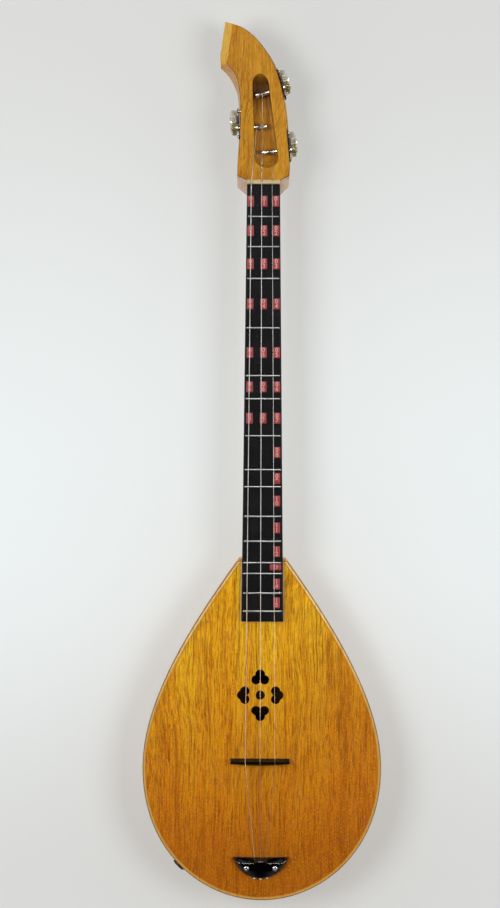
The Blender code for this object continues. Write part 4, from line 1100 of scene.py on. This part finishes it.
def turned(
    profile: Sequence[tuple[float, float]],
    matrix: Matrix,
    steps: int = 32,
    closed: bool = False,
) -> bpy.types.Mesh:
    """A turned solid.

    Args:
        profile: Its outline as pairs of a radius and a height on its axis.
        matrix: Its placement, whose Z is the axis.
        steps: How many sides it has.
        closed: Whether the outline closes on itself, as in a ring with a bore.

    Returns:
        The mesh.
    """
    turns = [2 * math.pi * i / steps for i in range(steps)]
    rings = [
        [matrix @ Vector((radius * math.cos(a), radius * math.sin(a), height)) for a in turns]
        for radius, height in profile
    ]
    return loft(rings, closed)


def tube(points: Sequence[Vector], radius: float, steps: int = 10) -> bpy.types.Mesh:
    """A round cord along points, with closed ends.

    Args:
        points: The cord's middle line.
        radius: Its radius.
        steps: How many sides it has.

    Returns:
        The mesh.
    """
    rings = []
    side = (points[1] - points[0]).orthogonal().normalized()
    for i, point in enumerate(points):
        ahead = (points[min(i + 1, len(points) - 1)] - points[max(i - 1, 0)]).normalized()
        side = (side - ahead * side.dot(ahead)).normalized()
        other = ahead.cross(side)
        turns = [2 * math.pi * k / steps for k in range(steps)]
        rings.append([point + (side * math.cos(a) + other * math.sin(a)) * radius for a in turns])
    return loft(rings)


def bent(stops: Sequence[Vector], run: float, steps: int = 4) -> list[Vector]:
    """A line through stops whose bends are rounded.

    Args:
        stops: The stops.
        run: How far before and after a stop its bend reaches, where there is room for it.
        steps: How many parts a bend has.

    Returns:
        The points of the line.
    """
    line = [stops[0]]
    for before, stop, after in zip(stops, stops[1:], stops[2:]):
        start = stop.lerp(before, min(run / (before - stop).length, 0.45))
        end = stop.lerp(after, min(run / (after - stop).length, 0.45))
        for i in range(steps + 1):
            t = i / steps
            line.append(start * (1 - t) ** 2 + stop * 2 * t * (1 - t) + end * t**2)
    return [*line, stops[-1]]


def carved(mesh: bpy.types.Mesh, cutter: bpy.types.Mesh) -> bpy.types.Mesh:
    """Cuts one mesh out of another.

    Args:
        mesh: The mesh that is cut.
        cutter: The mesh that is taken out of it.

    Returns:
        What is left.
    """
    block, tool = (bpy.data.objects.new("work", part) for part in (mesh, cutter))
    for thing in (block, tool):
        bpy.context.scene.collection.objects.link(thing)
    cut = block.modifiers.new("cut", "BOOLEAN")
    cut.operation = "DIFFERENCE"
    cut.solver = "EXACT"
    cut.object = tool
    bpy.context.view_layer.update()
    ready = block.evaluated_get(bpy.context.evaluated_depsgraph_get())
    left = bpy.data.meshes.new_from_object(ready)
    for thing in (block, tool):
        bpy.data.objects.remove(thing)
    return left


class SubAssembly(ABC):
    """A part of the instrument that is dressed on its own."""

    @abstractmethod
    def dress(self, finishes: dict[Kind, Finish]) -> None:
        """Gives its nodes their finish and adds its pieces."""


@dataclass
class Body(SubAssembly):
    """The carved bowl, the soundboard with its glue seam, and the braces under it."""

    half_width: float = 0.1194
    heel_station: float = 0.3745
    heel_half_width: float = 0.0236
    widest_station: float = 0.5836
    tail_reach: float = 0.1325
    heel_angle: float = math.radians(35.5)
    heel_handle: float = 0.090
    side_handle: float = 0.065
    tail_side_handle: float = 0.0863
    tail_end_handle: float = 0.057
    rim_width: float = 0.0035
    seam_depth: float = 0.0010
    seam_drop: float = 0.00005
    shade_line_width: float = 0.0009
    line_height: float = 0.00006
    highlight_width: float = 0.0026
    steps: int = 90

    def side(self, inset: float) -> list[tuple[float, float]]:
        """The treble side of the outline as (x, station), drawn in by an inset.

        Args:
            inset: How far inside the outline the line runs.

        Returns:
            The points from the heel to the tail.
        """
        x, station, widest = self.heel_half_width, self.heel_station, self.widest_station
        pull = (self.heel_handle * math.sin(self.heel_angle), self.heel_handle * math.cos(self.heel_angle))
        tail = widest + self.tail_reach
        halves = (
            (
                (x, station),
                (x + pull[0], station + pull[1]),
                (self.half_width, widest - self.side_handle),
                (self.half_width, widest),
            ),
            (
                (self.half_width, widest),
                (self.half_width, widest + self.tail_side_handle),
                (self.tail_end_handle, tail),
                (0.0, tail),
            ),
        )
        line = []
        for corners in halves:
            for i in range(self.steps + 1):
                t = i / self.steps
                weights = ((1 - t) ** 3, 3 * t * (1 - t) ** 2, 3 * t * t * (1 - t), t**3)
                slopes = (-3 * (1 - t) ** 2, 3 * (1 - t) * (1 - 3 * t), 3 * t * (2 - 3 * t), 3 * t * t)
                spot = Vector([sum(w * c[k] for w, c in zip(weights, corners)) for k in (0, 1)])
                run = Vector([sum(w * c[k] for w, c in zip(slopes, corners)) for k in (0, 1)]).normalized()
                line.append((spot.x - inset * run.y, spot.y + inset * run.x))
            line.pop()
        line.append((0.0, tail - inset))
        return [point for point in line if point[1] >= station + inset]

    def build_ring(self, outer: float, inner: float, low: float, high: float) -> bpy.types.Mesh:
        """Builds a thin ring that follows the outline.

        Args:
            outer: How far inside the outline its outer side runs.
            inner: How far inside the outline its inner side runs.
            low: The height of its underside.
            high: The height of its top.

        Returns:
            The mesh.
        """
        rings = []
        sides = [self.side(inset) for inset in (outer, inner)]
        count = min(len(side) for side in sides)
        for side, z in ((0, low), (0, high), (1, high), (1, low)):
            line = sides[side][-count:]
            mirrored = [(-x, station) for x, station in reversed(line[:-1])]
            rings.append([place(x, station, z) for x, station in line + mirrored])
        return loft(rings, closed=True)

    def wall(self, station: float, z: float) -> Matrix:
        """The placement on the bass side of the wall whose Z points straight out of it.

        Args:
            station: Where it is along the strings.
            z: Its height.

        Returns:
            The placement.
        """
        line = self.side(0.0)
        i = next(i for i, point in enumerate(line) if point[1] > station and point[0] > 0)
        (x0, s0), (x1, s1) = line[i - 1], line[i]
        share = (station - s0) / (s1 - s0)
        out = Vector((s0 - s1, x1 - x0, 0.0)).normalized()
        spot = place(-(x0 + (x1 - x0) * share), station, z)
        return Matrix.Translation(spot) @ out.to_track_quat("Z", "Y").to_matrix().to_4x4()

    def dress(self, finishes: dict[Kind, Finish]) -> None:
        """Gives bowl, soundboard and braces their wood, and lays the seam, a painted shade line round the rim and
        a painted highlight band inside it.
        """
        dress("body_bowl", finishes[Kind.BODY])
        dress("soundboard", finishes[Kind.TOP], 0.0003)
        for node in ("upper_brace", "lower_brace"):
            dress(node, finishes[Kind.BRACE], 0.0008)
        seam_top = BODY_TOP - self.seam_drop
        seam = self.build_ring(self.rim_width, self.rim_width + GAP, seam_top - self.seam_depth, seam_top)
        add_piece("soundboard_seam", seam, finishes[Kind.SEAM], "instrument")
        low, high = BODY_TOP + 0.00001, BODY_TOP + self.line_height
        # Painted shade: a dark line along the rim's outer edge.
        line = self.build_ring(0.00005, self.shade_line_width, low, high)
        add_piece("rim_line", line, finishes[Kind.RIM_LINE], "instrument")
        # Painted highlight: a pale band along the top's rounded edge.
        binding = self.build_ring(self.shade_line_width + 0.00002, self.highlight_width, low, high)
        add_piece("rim_binding", binding, finishes[Kind.BINDING], "instrument")


@dataclass
class Neck(SubAssembly):
    """The neck with its fretboard, the veneer that shows beside it, the frets and the nut."""

    fret_count: int = 15
    start_half_width: float = 0.0165
    end_half_width: float = 0.021
    veneer_start: float = 0.3775
    veneer_reach: float = 0.0015
    veneer_thickness: float = 0.0002

    def build_veneer(self) -> bpy.types.Mesh:
        """Builds the pale veneer under the fretboard's end, which shows as a line round it.

        Returns:
            The mesh.
        """
        low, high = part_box("fretboard")
        end = NUT_Y - low.y
        rings = []
        for z in (BODY_TOP + 0.00002, BODY_TOP + self.veneer_thickness):
            corners = []
            for station in (self.veneer_start, end + self.veneer_reach * 0.6):
                share = station / end
                half = self.start_half_width + (self.end_half_width - self.start_half_width) * share
                corners.append((half + self.veneer_reach, station))
            (near, start), (far, stop) = corners
            outline = ((near, start), (far, stop), (-far, stop), (-near, start))
            rings.append([place(x, station, z) for x, station in outline])
        return loft(rings)

    def dress(self, finishes: dict[Kind, Finish]) -> None:
        """Gives neck, fretboard, frets and nut their finish, and lays the veneer."""
        dress("neck", finishes[Kind.NECK], 0.0004)
        dress("fretboard", finishes[Kind.BOARD], 0.0002)
        for number in range(1, self.fret_count + 1):
            dress(f"fret_{number:02d}", finishes[Kind.FRET], 0.00012)
        dress("nut", finishes[Kind.BONE], 0.00025)
        add_piece("fretboard_veneer", self.build_veneer(), finishes[Kind.VENEER], "instrument")


@dataclass
class Label:
    """A small red label that carries its fret's number, one figure over the other."""

    number: int
    spot: Vector
    width: float = 0.0065
    length: float = 0.0108
    thickness: float = 0.00012
    corner: float = 0.0009
    figure: float = 0.0060
    weight: float = 0.00016
    flat: bool = False

    def build(self) -> bpy.types.Mesh:
        """Builds the label's sheet, with rounded corners and an eased upper edge.

        Returns:
            The mesh.
        """
        half_w, half_l = self.width / 2, self.length / 2
        rings = []
        for inset, height in ((0.0, 0.0), (0.0, self.thickness * 0.6), (self.thickness, self.thickness)):
            ring = []
            for side_x, side_y, start in ((1, 1, 0), (-1, 1, 1), (-1, -1, 2), (1, -1, 3)):
                for i in range(5):
                    turn = math.pi / 2 * (start + i / 4)
                    x = side_x * (half_w - self.corner) + (self.corner - inset) * math.cos(turn)
                    y = side_y * (half_l - self.corner) + (self.corner - inset) * math.sin(turn)
                    ring.append(self.spot + Vector((x, y, height)))
            rings.append(ring)
        return loft(rings)

    def build_figures(self) -> bpy.types.Mesh:
        """Builds the label's figures.

        Returns:
            The mesh of both figures.
        """
        text = f"{self.number:02d}"
        curve = bpy.data.curves.new("figures", "FONT")
        curve.body = text if self.flat else "\n".join(text)
        curve.size = self.figure
        curve.space_line = 0.8
        curve.offset = self.weight
        curve.align_x = "CENTER"
        curve.align_y = "CENTER"
        curve.extrude = self.thickness * 0.2
        holder = bpy.data.objects.new("figures", curve)
        bpy.context.scene.collection.objects.link(holder)
        bpy.context.view_layer.update()
        ready = holder.evaluated_get(bpy.context.evaluated_depsgraph_get())
        mesh = bpy.data.meshes.new_from_object(ready)
        mesh.materials.clear()
        rise = Vector((0.0, 0.0, self.thickness * 1.1))
        mesh.transform(Matrix.Translation(self.spot + rise))
        bpy.data.objects.remove(holder)
        return mesh

    def dress(self, finishes: dict[Kind, Finish], name: str) -> None:
        """Adds the label and its figures.

        Args:
            finishes: The finishes by kind.
            name: The label's name.
        """
        add_piece(name, self.build(), finishes[Kind.LABEL], "instrument")
        add_piece(f"{name}_figures", self.build_figures(), finishes[Kind.INK], "instrument")


@dataclass
class FretLabels(SubAssembly):
    """The labels between the frets: three in each upper space, one in each lower space."""

    stations: tuple[float, ...] = (
        0.0172, 0.0467, 0.0797, 0.1197, 0.1683, 0.2025, 0.2338, 0.2680, 0.2940, 0.3166, 0.3433, 0.3670,
        0.3826, 0.3994, 0.4180,
    )
    spaces_with_three: int = 7
    bass_x: tuple[float, float] = (-0.0127, -0.0133)
    middle_x: tuple[float, float] = (0.0006, 0.0002)
    treble_x: tuple[float, float] = (0.0122, 0.0142)
    flat_space: int = 13
    flat_x: float = 0.0130

    def build(self) -> list[Label]:
        """Places every label.

        Returns:
            The labels.
        """
        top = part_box("fretboard")[1].z
        last = self.stations[self.spaces_with_three - 1]
        labels = []
        for number, station in enumerate(self.stations, 1):
            share = min(station / last, 1.0)
            for column in (self.bass_x, self.middle_x, self.treble_x):
                if number > self.spaces_with_three and column is not self.treble_x:
                    continue
                x = column[0] + (column[1] - column[0]) * share
                if number == self.flat_space:
                    spot = place(self.flat_x, station, top)
                    labels.append(Label(number, spot, width=0.0112, length=0.0060, figure=0.005, flat=True))
                else:
                    labels.append(Label(number, place(x, station, top)))
        return labels

    def dress(self, finishes: dict[Kind, Finish]) -> None:
        """Adds every label with its figures."""
        for i, label in enumerate(self.build(), 1):
            label.dress(finishes, f"fret_label_{i:02d}")


@dataclass
class Head(SubAssembly):
    """The hooked head."""

    edge: float = 0.0008

    def dress(self, finishes: dict[Kind, Finish]) -> None:
        """Gives the head its wood and eased edges."""
        dress("headstock", finishes[Kind.HEAD], self.edge, 3, 50, BODY_TOP - 0.0001)


@dataclass
class Tuner(SubAssembly):
    """One side-mounted tuner: plate, worm, gear, post and button, with the string's turns."""

    name: str
    string: int
    string_radius: float
    turns: float
    pitch: float
    post_radius: float = 0.0026
    shaft_radius: float = 0.0016
    shaft_in_button: float = 0.0085
    button_half_width: float = 0.0130
    button_half_thickness: float = 0.00425
    button_neck_radius: float = 0.0032
    button_neck_turn: float = math.radians(21.6)
    button_tip_turn: float = math.radians(165.6)
    button_fullness: float = 0.8
    button_round: float = 0.12
    button_squareness: float = 0.72
    seat_depth: float = 0.00555
    plate_thickness: float = 0.0012
    steps: int = 28

    def build_button(self) -> bpy.types.Mesh:
        """Builds the oval button with its rounded tip and the socket for the shaft.

        Returns:
            The mesh.
        """
        low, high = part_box(f"{self.name}_button")
        spot = Joint.named(f"{self.name}_key_turn").spot
        out = Joint.named(f"{self.name}_post_turn").axis
        side = Vector(Axis.UP.value).cross(out)
        rings = []
        for i in range(self.steps):
            share = math.sin(math.pi / 2 * i / self.steps)
            power = 1 - (1 - self.button_squareness) * min(share * 4, 1.0)
            turn = self.button_neck_turn + (self.button_tip_turn - self.button_neck_turn) * share
            tip = max(share - 1 + self.button_round, 0.0) / self.button_round
            swell = math.sin(turn) ** self.button_fullness * math.sqrt(1 - tip**2)
            wide, thick = self.button_half_width * swell, self.button_half_thickness * swell
            if share < 0.5:
                thick = max(thick, self.button_neck_radius)
            middle = Vector((spot.x, spot.y, high.z + (low.z - high.z) * share))
            ring = []
            for k in range(self.steps * 2):
                turn = math.pi * k / self.steps
                x, y = (math.copysign(abs(f(turn)) ** power, f(turn)) for f in (math.cos, math.sin))
                ring.append(middle + out * thick * x + side * wide * y)
            rings.append(ring)
        floor = high.z - self.shaft_in_button - GAP
        profile = ((self.shaft_radius + GAP, floor), (self.shaft_radius + GAP, high.z + GAP))
        socket = turned(profile, Matrix.Translation((spot.x, spot.y, 0.0)), 24)
        return carved(loft(rings), socket)

    def build_turns(self) -> bpy.types.Mesh:
        """Winds the string round the post, side by side from where it arrives.

        Returns:
            The mesh.
        """
        joint = Joint.named(f"{self.name}_post_turn")
        points = [v.co for v in frame["nodes"][f"string_{self.string}"].data.vertices]
        end_y = max(p.y for p in points)
        ring = [p for p in points if p.y > end_y - self.string_radius * 1.5]
        start = sum(ring, Vector()) / len(ring)
        out = joint.axis
        base = joint.spot + out * (start - joint.spot).dot(out)
        arm = (start - base).normalized()
        other = out.cross(arm)
        towards = -1.0 if other.y < 0 else 1.0
        reach = (start - base).length
        count = round(self.turns * 28)
        route = []
        for i in range(count + 1):
            turn = i / count * self.turns * 2 * math.pi
            sink = min(turn / math.pi, 1.0) * (reach - self.post_radius - self.string_radius)
            along = out * (-turn / (2 * math.pi) * self.pitch)
            spin = arm * math.cos(turn) + other * towards * math.sin(turn)
            route.append(base + spin * (reach - sink) + along)
        return tube(route, self.string_radius, 8)

    def make_plate_finish(self) -> Finish:
        """Makes the plate's aged nickel, with painted shade where it lies on the wood and just outside it.

        Returns:
            The finish.
        """
        joint = Joint.named(f"{self.name}_post_turn")
        seat = joint.spot.dot(joint.axis) - self.seat_depth
        edge = seat + self.plate_thickness
        # Painted shade: the plate darkened where it lies against the head and for a few millimetres out from it.
        seat_shade = Wash(tone(52, 34, 24), 0.9, (Fade(tuple(joint.axis), edge + 0.0004, edge - 0.0002),))
        shade = Wash(tone(30, 22, 18), 0.85, (Fade(tuple(joint.axis), edge + 0.0032, edge + 0.0012),))
        plate = Metal(
            Kind.PLATE,
            "nickel",
            tone(206, 196, 182),
            tone(128, 108, 86),
            gloss=0.3,
            age=0.7,
            washes=(seat_shade, shade),
        )
        return plate.make()

    def dress(self, finishes: dict[Kind, Finish]) -> None:
        """Gives the tuner its metals and adds its button and the string's turns."""
        dress(f"{self.name}_tuner_plate", self.make_plate_finish(), 0.00015)
        dress(f"{self.name}_worm_shaft", finishes[Kind.NICKEL], 0.0001)
        dress(f"{self.name}_gear", finishes[Kind.BRASS], 0.00012)
        dress(f"{self.name}_string_post", finishes[Kind.NICKEL], 0.00015)
        for end in ("gear_screw", "tuner_screw_tip", "tuner_screw_nut"):
            dress(f"{self.name}_{end}", finishes[Kind.NICKEL], 0.0001)
        button = add_piece(
            f"{self.name}_button_shape", self.build_button(), finishes[Kind.BUTTON], f"{self.name}_key"
        )
        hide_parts(f"{self.name}_button")
        turns = f"string_{self.string}_turns"
        wire = finishes[Kind.WOUND if self.string == 1 else Kind.STRING]
        add_piece(turns, self.build_turns(), wire, f"{self.name}_post")


@dataclass
class Bridge(SubAssembly):
    """The loose bridge."""

    edge: float = 0.0004

    def dress(self, finishes: dict[Kind, Finish]) -> None:
        """Gives the bridge its dark wood and eased edges."""
        dress("bridge", finishes[Kind.BRIDGE], self.edge, 3)


@dataclass
class Tailpiece(SubAssembly):
    """The crescent that anchors the strings, with its two screws."""

    middle: float = -0.0009
    station: float = 0.6724
    base: float = 0.0583
    half_length: float = 0.02805
    drop: float = 0.0213
    hollow: float = 0.0004
    front_height: float = 0.0024
    back_height: float = 0.0046
    ridge_height: float = 0.0092
    ridge_run: float = 0.0056
    ridge_share: float = 0.5
    bulge_share: float = 0.62
    tip_share: float = 0.6
    hump: float = 0.0022
    hump_half_width: float = 0.0085
    edge: float = 0.0013
    steps: int = 56
    screw_head_radius: float = 0.0028
    screw_head_height: float = 0.0014
    screw_radius: float = 0.0013

    def section(self, across: float) -> list[Vector]:
        """The line over the crescent from its front foot to its back foot.

        Args:
            across: How far from the crescent's middle it runs.

        Returns:
            Its points.
        """
        share = 1 - (across / self.half_length) ** 2
        front = self.station + self.hollow * share
        radius = (self.half_length**2 + self.drop**2) / (2 * self.drop)
        back = self.station + self.drop - radius + math.sqrt(radius**2 - across**2)
        shrink = self.tip_share + (1 - self.tip_share) * math.sqrt(share)
        low, edge, crest = (h * shrink for h in (self.front_height, self.back_height, self.ridge_height))
        hump = max(1 - (across / self.hump_half_width) ** 2, 0.0) ** 2 * self.hump
        ridge = front + min(self.ridge_run - hump, (back - front) * self.ridge_share)
        bulge = edge + (crest - edge) * self.bulge_share
        corners = (
            (front, 0.0),
            (front, low),
            (ridge, crest),
            ((ridge + back) / 2, bulge),
            (back, edge),
            (back, 0.0),
        )
        stops = [place(self.middle + across, station, self.base + z) for station, z in corners]
        return bent(stops, self.edge, 6)

    def build_crescent(self, strings: "Strings") -> bpy.types.Mesh:
        """Builds the crescent with its rounded ridge, string holes and screw seats.

        Args:
            strings: The strings that run through it.

        Returns:
            The mesh.
        """
        turns = [math.pi * (i + 0.5) / (self.steps + 1) for i in range(self.steps + 1)]
        mesh = loft([self.section(-math.cos(turn) * self.half_length) for turn in turns])
        for number, radius in enumerate(strings.radii, 1):
            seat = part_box(f"string_{number}")[0].y + strings.ball_length + GAP
            x = strings.tail_x + (number - 2) * strings.tail_spacing
            spot = Matrix.Translation((x, seat, strings.tail_height))
            back = spot @ Matrix.Rotation(math.pi / 2, 4, "X")
            ahead = spot @ Matrix.Rotation(-math.pi / 2, 4, "X")
            ball_hole = strings.ball_radius + GAP
            mesh = carved(mesh, turned(((ball_hole, 0.0), (ball_hole, 0.02)), back, 24))
            mesh = carved(mesh, turned(((radius + GAP, -0.001), (radius + GAP, 0.04)), ahead, 16))
        for hand in Hand:
            low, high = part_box(f"tailpiece_screw_{hand.value}")
            spot = Matrix.Translation(((low.x + high.x) / 2, (low.y + high.y) / 2, 0.0))
            seat = high.z - self.screw_head_height - GAP
            head, shank = self.screw_head_radius + GAP, self.screw_radius + GAP
            mesh = carved(mesh, turned(((head, seat), (head, seat + 0.01)), spot, 32))
            mesh = carved(mesh, turned(((shank, self.base - 0.01), (shank, seat + 0.001)), spot, 20))
        return mesh

    def dress(self, finishes: dict[Kind, Finish]) -> None:
        """Adds the polished crescent and gives the screws their steel."""
        crescent = add_piece(
            "tailpiece_crescent", self.build_crescent(Strings()), finishes[Kind.TAIL], "instrument"
        )
        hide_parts("tailpiece")
        for hand in Hand:
            dress(f"tailpiece_screw_{hand.value}", finishes[Kind.SCREW], 0.00012)


@dataclass
class Strings(SubAssembly):
    """The three strings with their ball ends."""

    radii: tuple[float, float, float] = (0.0004, 0.0003, 0.0002)
    line_x: float = -0.0018
    tail_x: float = -0.0009
    nut_spacing: float = 0.0104
    bridge_spacing: float = 0.0148
    tail_spacing: float = 0.00625
    nut_station: float = -0.0011
    bridge_station: float = 0.5776
    leave_station: float = 0.6718
    nut_height: float = 0.0661
    bridge_height: float = 0.0706
    tail_height: float = 0.0605
    ball_length: float = 0.0030
    ball_radius: float = 0.0015
    ball_waist: float = 0.0010
    bend: float = 0.0025

    def build_string(self, number: int) -> bpy.types.Mesh:
        """Builds a string from its ball to its post, bent softly over bridge and nut.

        Args:
            number: The string's number, 1 for the bass string.

        Returns:
            The mesh.
        """
        radius, step = self.radii[number - 1], number - 2
        points = [v.co for v in frame["nodes"][f"string_{number}"].data.vertices]
        end_y = max(p.y for p in points)
        ring = [p for p in points if p.y > end_y - radius * 1.5]
        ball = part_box(f"string_{number}")[0].y + self.ball_length
        tail_x = self.tail_x + step * self.tail_spacing
        stops = (
            Vector((tail_x, ball + GAP, self.tail_height)),
            place(tail_x, self.leave_station, self.tail_height),
            place(self.line_x + step * self.bridge_spacing, self.bridge_station, self.bridge_height + radius),
            place(self.line_x + step * self.nut_spacing, self.nut_station, self.nut_height + radius),
            sum(ring, Vector()) / len(ring),
        )
        return tube(bent(stops, self.bend), radius, 12)

    def build_ball(self, number: int) -> bpy.types.Mesh:
        """Builds a string's ball end: a small barrel with a groove round its middle.

        Args:
            number: The string's number.

        Returns:
            The mesh.
        """
        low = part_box(f"string_{number}")[0].y
        length, radius, waist = self.ball_length, self.ball_radius, self.ball_waist
        edge = 0.0004
        profile = (
            (radius - edge, 0.0),
            (radius - edge * 0.3, edge * 0.3),
            (radius, edge),
            (radius, length * 0.36),
            (waist, length * 0.42),
            (waist, length * 0.58),
            (radius, length * 0.64),
            (radius, length - edge),
            (radius - edge * 0.3, length - edge * 0.3),
            (radius - edge, length),
        )
        x = self.tail_x + (number - 2) * self.tail_spacing
        turn = Matrix.Rotation(-math.pi / 2, 4, "X")
        return turned(profile, Matrix.Translation((x, low, self.tail_height)) @ turn)

    def dress(self, finishes: dict[Kind, Finish]) -> None:
        """Adds the strings and their ball ends in place of the plain ones."""
        for number in (1, 2, 3):
            wire = finishes[Kind.WOUND if number == 1 else Kind.STRING]
            string = add_piece(f"string_{number}_wire", self.build_string(number), wire, "instrument")
            add_piece(f"string_{number}_ball", self.build_ball(number), finishes[Kind.BALL], "instrument")
            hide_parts(f"string_{number}")


@dataclass
class Pickup(SubAssembly):
    """The output jack in the wall, the disc under the soundboard and the lead between them."""

    edge: float = 0.0003
    jack_station: float = 0.6825
    jack_height: float = 0.030
    collar_bore: float = 0.0061
    collar_radius: float = 0.0070
    collar_length: float = 0.0049

    def build_collar(self) -> bpy.types.Mesh:
        """Builds the rounded collar that stands round the jack's nut.

        Returns:
            The mesh.
        """
        bore, radius, length = self.collar_bore, self.collar_radius, self.collar_length
        profile = (
            (bore, 0.00015),
            (radius, 0.00015),
            (radius, length - 0.0012),
            (radius - 0.0002, length - 0.0005),
            (radius - 0.0006, length - 0.0001),
            (radius - 0.0009, length),
            (bore + 0.0002, length - 0.0001),
            (bore, length - 0.0004),
        )
        return turned(profile, Body().wall(self.jack_station, self.jack_height), 48, closed=True)

    def dress(self, finishes: dict[Kind, Finish]) -> None:
        """Gives the jack, the disc and the lead their finish, and adds the jack's collar."""
        add_piece("jack_collar", self.build_collar(), finishes[Kind.JACK], "instrument")
        for node in ("jack_socket", "jack_washer", "jack_nut"):
            dress(node, finishes[Kind.JACK], self.edge)
        dress("piezo_disc", finishes[Kind.BRASS], 0.0001)
        dress("pickup_lead", finishes[Kind.LEAD])


@dataclass
class Studio:
    """The pale ground, the soft lamps and the camera straight above."""

    image_width: float = 500.0
    image_height: float = 908.0
    metres_per_pixel: float = 0.001
    centre_line: float = 261.8
    middle_row: float = 459.05
    lean: float = math.radians(0.17)
    lean_row: float = 768.0
    distance: float = 2.6
    plane: float = 0.060
    wall_light: float = 0.95
    wall_gleam: float = 0.25
    floor_glow: float = 0.3
    ceiling_light: float = 0.03
    wall_top: float = 0.45
    ceiling_start: float = 0.7

    def make_ground(self) -> bpy.types.Material:
        """Makes the ground's paper, whose brightness to the eye doesn't hang on the lamps alone.

        Returns:
            The material.
        """
        paint = Paint(bpy.data.materials.new("ground_paper"))
        clouds = paint.noise(paint.place(), 3.0, 2.0)
        colour = paint.mixed(clouds * 0.5, tone(240, 245, 245), tone(237, 242, 242))
        # Painted shade: the ground darker towards head and tail, where the light falls off.
        colour = Wash(tone(224, 225, 223), 1.0, (along(-0.02, 0.47),)).over(paint, colour)
        colour = Wash(tone(223, 224, 222), 1.0, (along(-0.10, -0.44),)).over(paint, colour)
        matte = paint.node("ShaderNodeBsdfDiffuse", {}, {"Color": colour})
        glow = paint.node("ShaderNodeEmission", {}, {"Color": colour, "Strength": 1.0})
        rays = [paint.node("ShaderNodeLightPath", {}, {}, f"Is {kind} Ray") for kind in ("Camera", "Glossy")]
        share = (rays[0] + rays[1]) * self.floor_glow
        paint.close(paint.node("ShaderNodeMixShader", {}, {0: share, 1: matte, 2: glow}))
        return paint.owner

    def build_floor(self) -> None:
        """Lays the pale ground, a little darker towards head and tail."""
        shape = bmesh.new()
        bmesh.ops.create_grid(shape, x_segments=8, y_segments=8, size=6.0)
        mesh = bpy.data.meshes.new("ground")
        shape.to_mesh(mesh)
        shape.free()
        ground = bpy.data.objects.new("ground", mesh)
        bpy.context.scene.collection.objects.link(ground)
        mesh.materials.append(self.make_ground())
        ground.location.z = -0.0005

    def add_lamp(
        self,
        name: str,
        spot: Vector,
        width: float,
        depth: float,
        power: float,
        gleam: bool = False,
    ) -> None:
        """Hangs a soft lamp that faces the instrument.

        Args:
            name: The lamp's name.
            spot: Where it hangs.
            width: How long it is across the instrument.
            depth: How long it is the other way.
            power: Its power in watts.
            gleam: Whether it only shows as a gleam on glossy things.
        """
        light = bpy.data.lights.new(name, "AREA")
        light.shape = "RECTANGLE"
        light.size = width
        light.size_y = depth
        light.energy = power
        lamp = bpy.data.objects.new(name, light)
        lamp.location = spot
        lamp.rotation_euler = (-spot).to_track_quat("-Z", "Y").to_euler()
        lamp.visible_diffuse = not gleam
        bpy.context.scene.collection.objects.link(lamp)

    def build_room(self) -> None:
        """Lights the room: pale walls, which glossy things show darker, and a dim ceiling."""
        paint = Paint(bpy.data.worlds.new("room"))
        spot = paint.node("ShaderNodeTexCoord", {}, {}, "Generated")
        height = paint.node("ShaderNodeSeparateXYZ", {}, {"Vector": spot}, "Z")
        glossy = paint.node("ShaderNodeLightPath", {}, {}, "Is Glossy Ray")
        rise = height.ramp(self.wall_top, self.ceiling_start)
        walls = self.wall_light - rise * (self.wall_light - self.ceiling_light)
        strength = walls * (1.0 - glossy * (1.0 - self.wall_gleam))
        values = {"Color": (1.0, 1.0, 1.0, 1.0), "Strength": strength}
        paint.close(paint.node("ShaderNodeBackground", {}, values))
        bpy.context.scene.world = paint.owner

    def build_lamps(self) -> None:
        """Hangs the two lamps that light the instrument and the one that makes it gleam."""
        self.add_lamp("key_lamp", Vector((-1.15, 0.15, 2.0)), 1.0, 1.0, 22.6)
        self.add_lamp("fill_lamp", Vector((1.2, 0.0, 2.0)), 1.0, 1.0, 18.9)
        self.add_lamp("window_strip", Vector((0.0, 1.5, 2.1)), 1.2, 0.25, 30.0, gleam=True)

    def build_camera(self) -> None:
        """Sets the camera straight above, with the small lean that the photograph has."""
        column, row = self.image_width / 2, self.image_height / 2
        y = (self.middle_row - row) * self.metres_per_pixel
        slip = math.tan(self.lean) * (self.lean_row - row)
        x = (column - self.centre_line - slip) * self.metres_per_pixel
        optics = bpy.data.cameras.new("camera")
        optics.sensor_fit = "VERTICAL"
        optics.sensor_height = 24.0
        optics.lens = optics.sensor_height * self.distance / (self.image_height * self.metres_per_pixel)
        optics.clip_start = 0.01
        optics.clip_end = 30.0
        camera = bpy.data.objects.new("camera", optics)
        camera.location = (x, y, self.plane + self.distance)
        camera.rotation_euler = (0.0, 0.0, self.lean)
        bpy.context.scene.collection.objects.link(camera)
        bpy.context.scene.camera = camera

    def dress(self) -> None:
        """Sets the colour handling and builds the studio."""
        bpy.context.scene.view_settings.view_transform = "Standard"
        self.build_camera()
        self.build_floor()
        self.build_room()
        self.build_lamps()


def main() -> None:
    """Builds the studio and dresses the instrument, part by part."""
    logging.basicConfig(level=logging.INFO, format="%(name)s: %(message)s")
    Studio().dress()
    finishes = make_finishes()
    parts = (
        Body(),
        Neck(),
        FretLabels(),
        Head(),
        Tuner("left", 1, 0.0004, 6.25, 0.00092),
        Tuner("upper", 2, 0.0003, 7.25, 0.00072),
        Tuner("lower", 3, 0.0002, 9.25, 0.00072),
        Bridge(),
        Tailpiece(),
        Strings(),
        Pickup(),
    )
    for part in parts:
        LOG.info("dressing %s", type(part).__name__)
        part.dress(finishes)


if __name__ == "__main__":
    main()
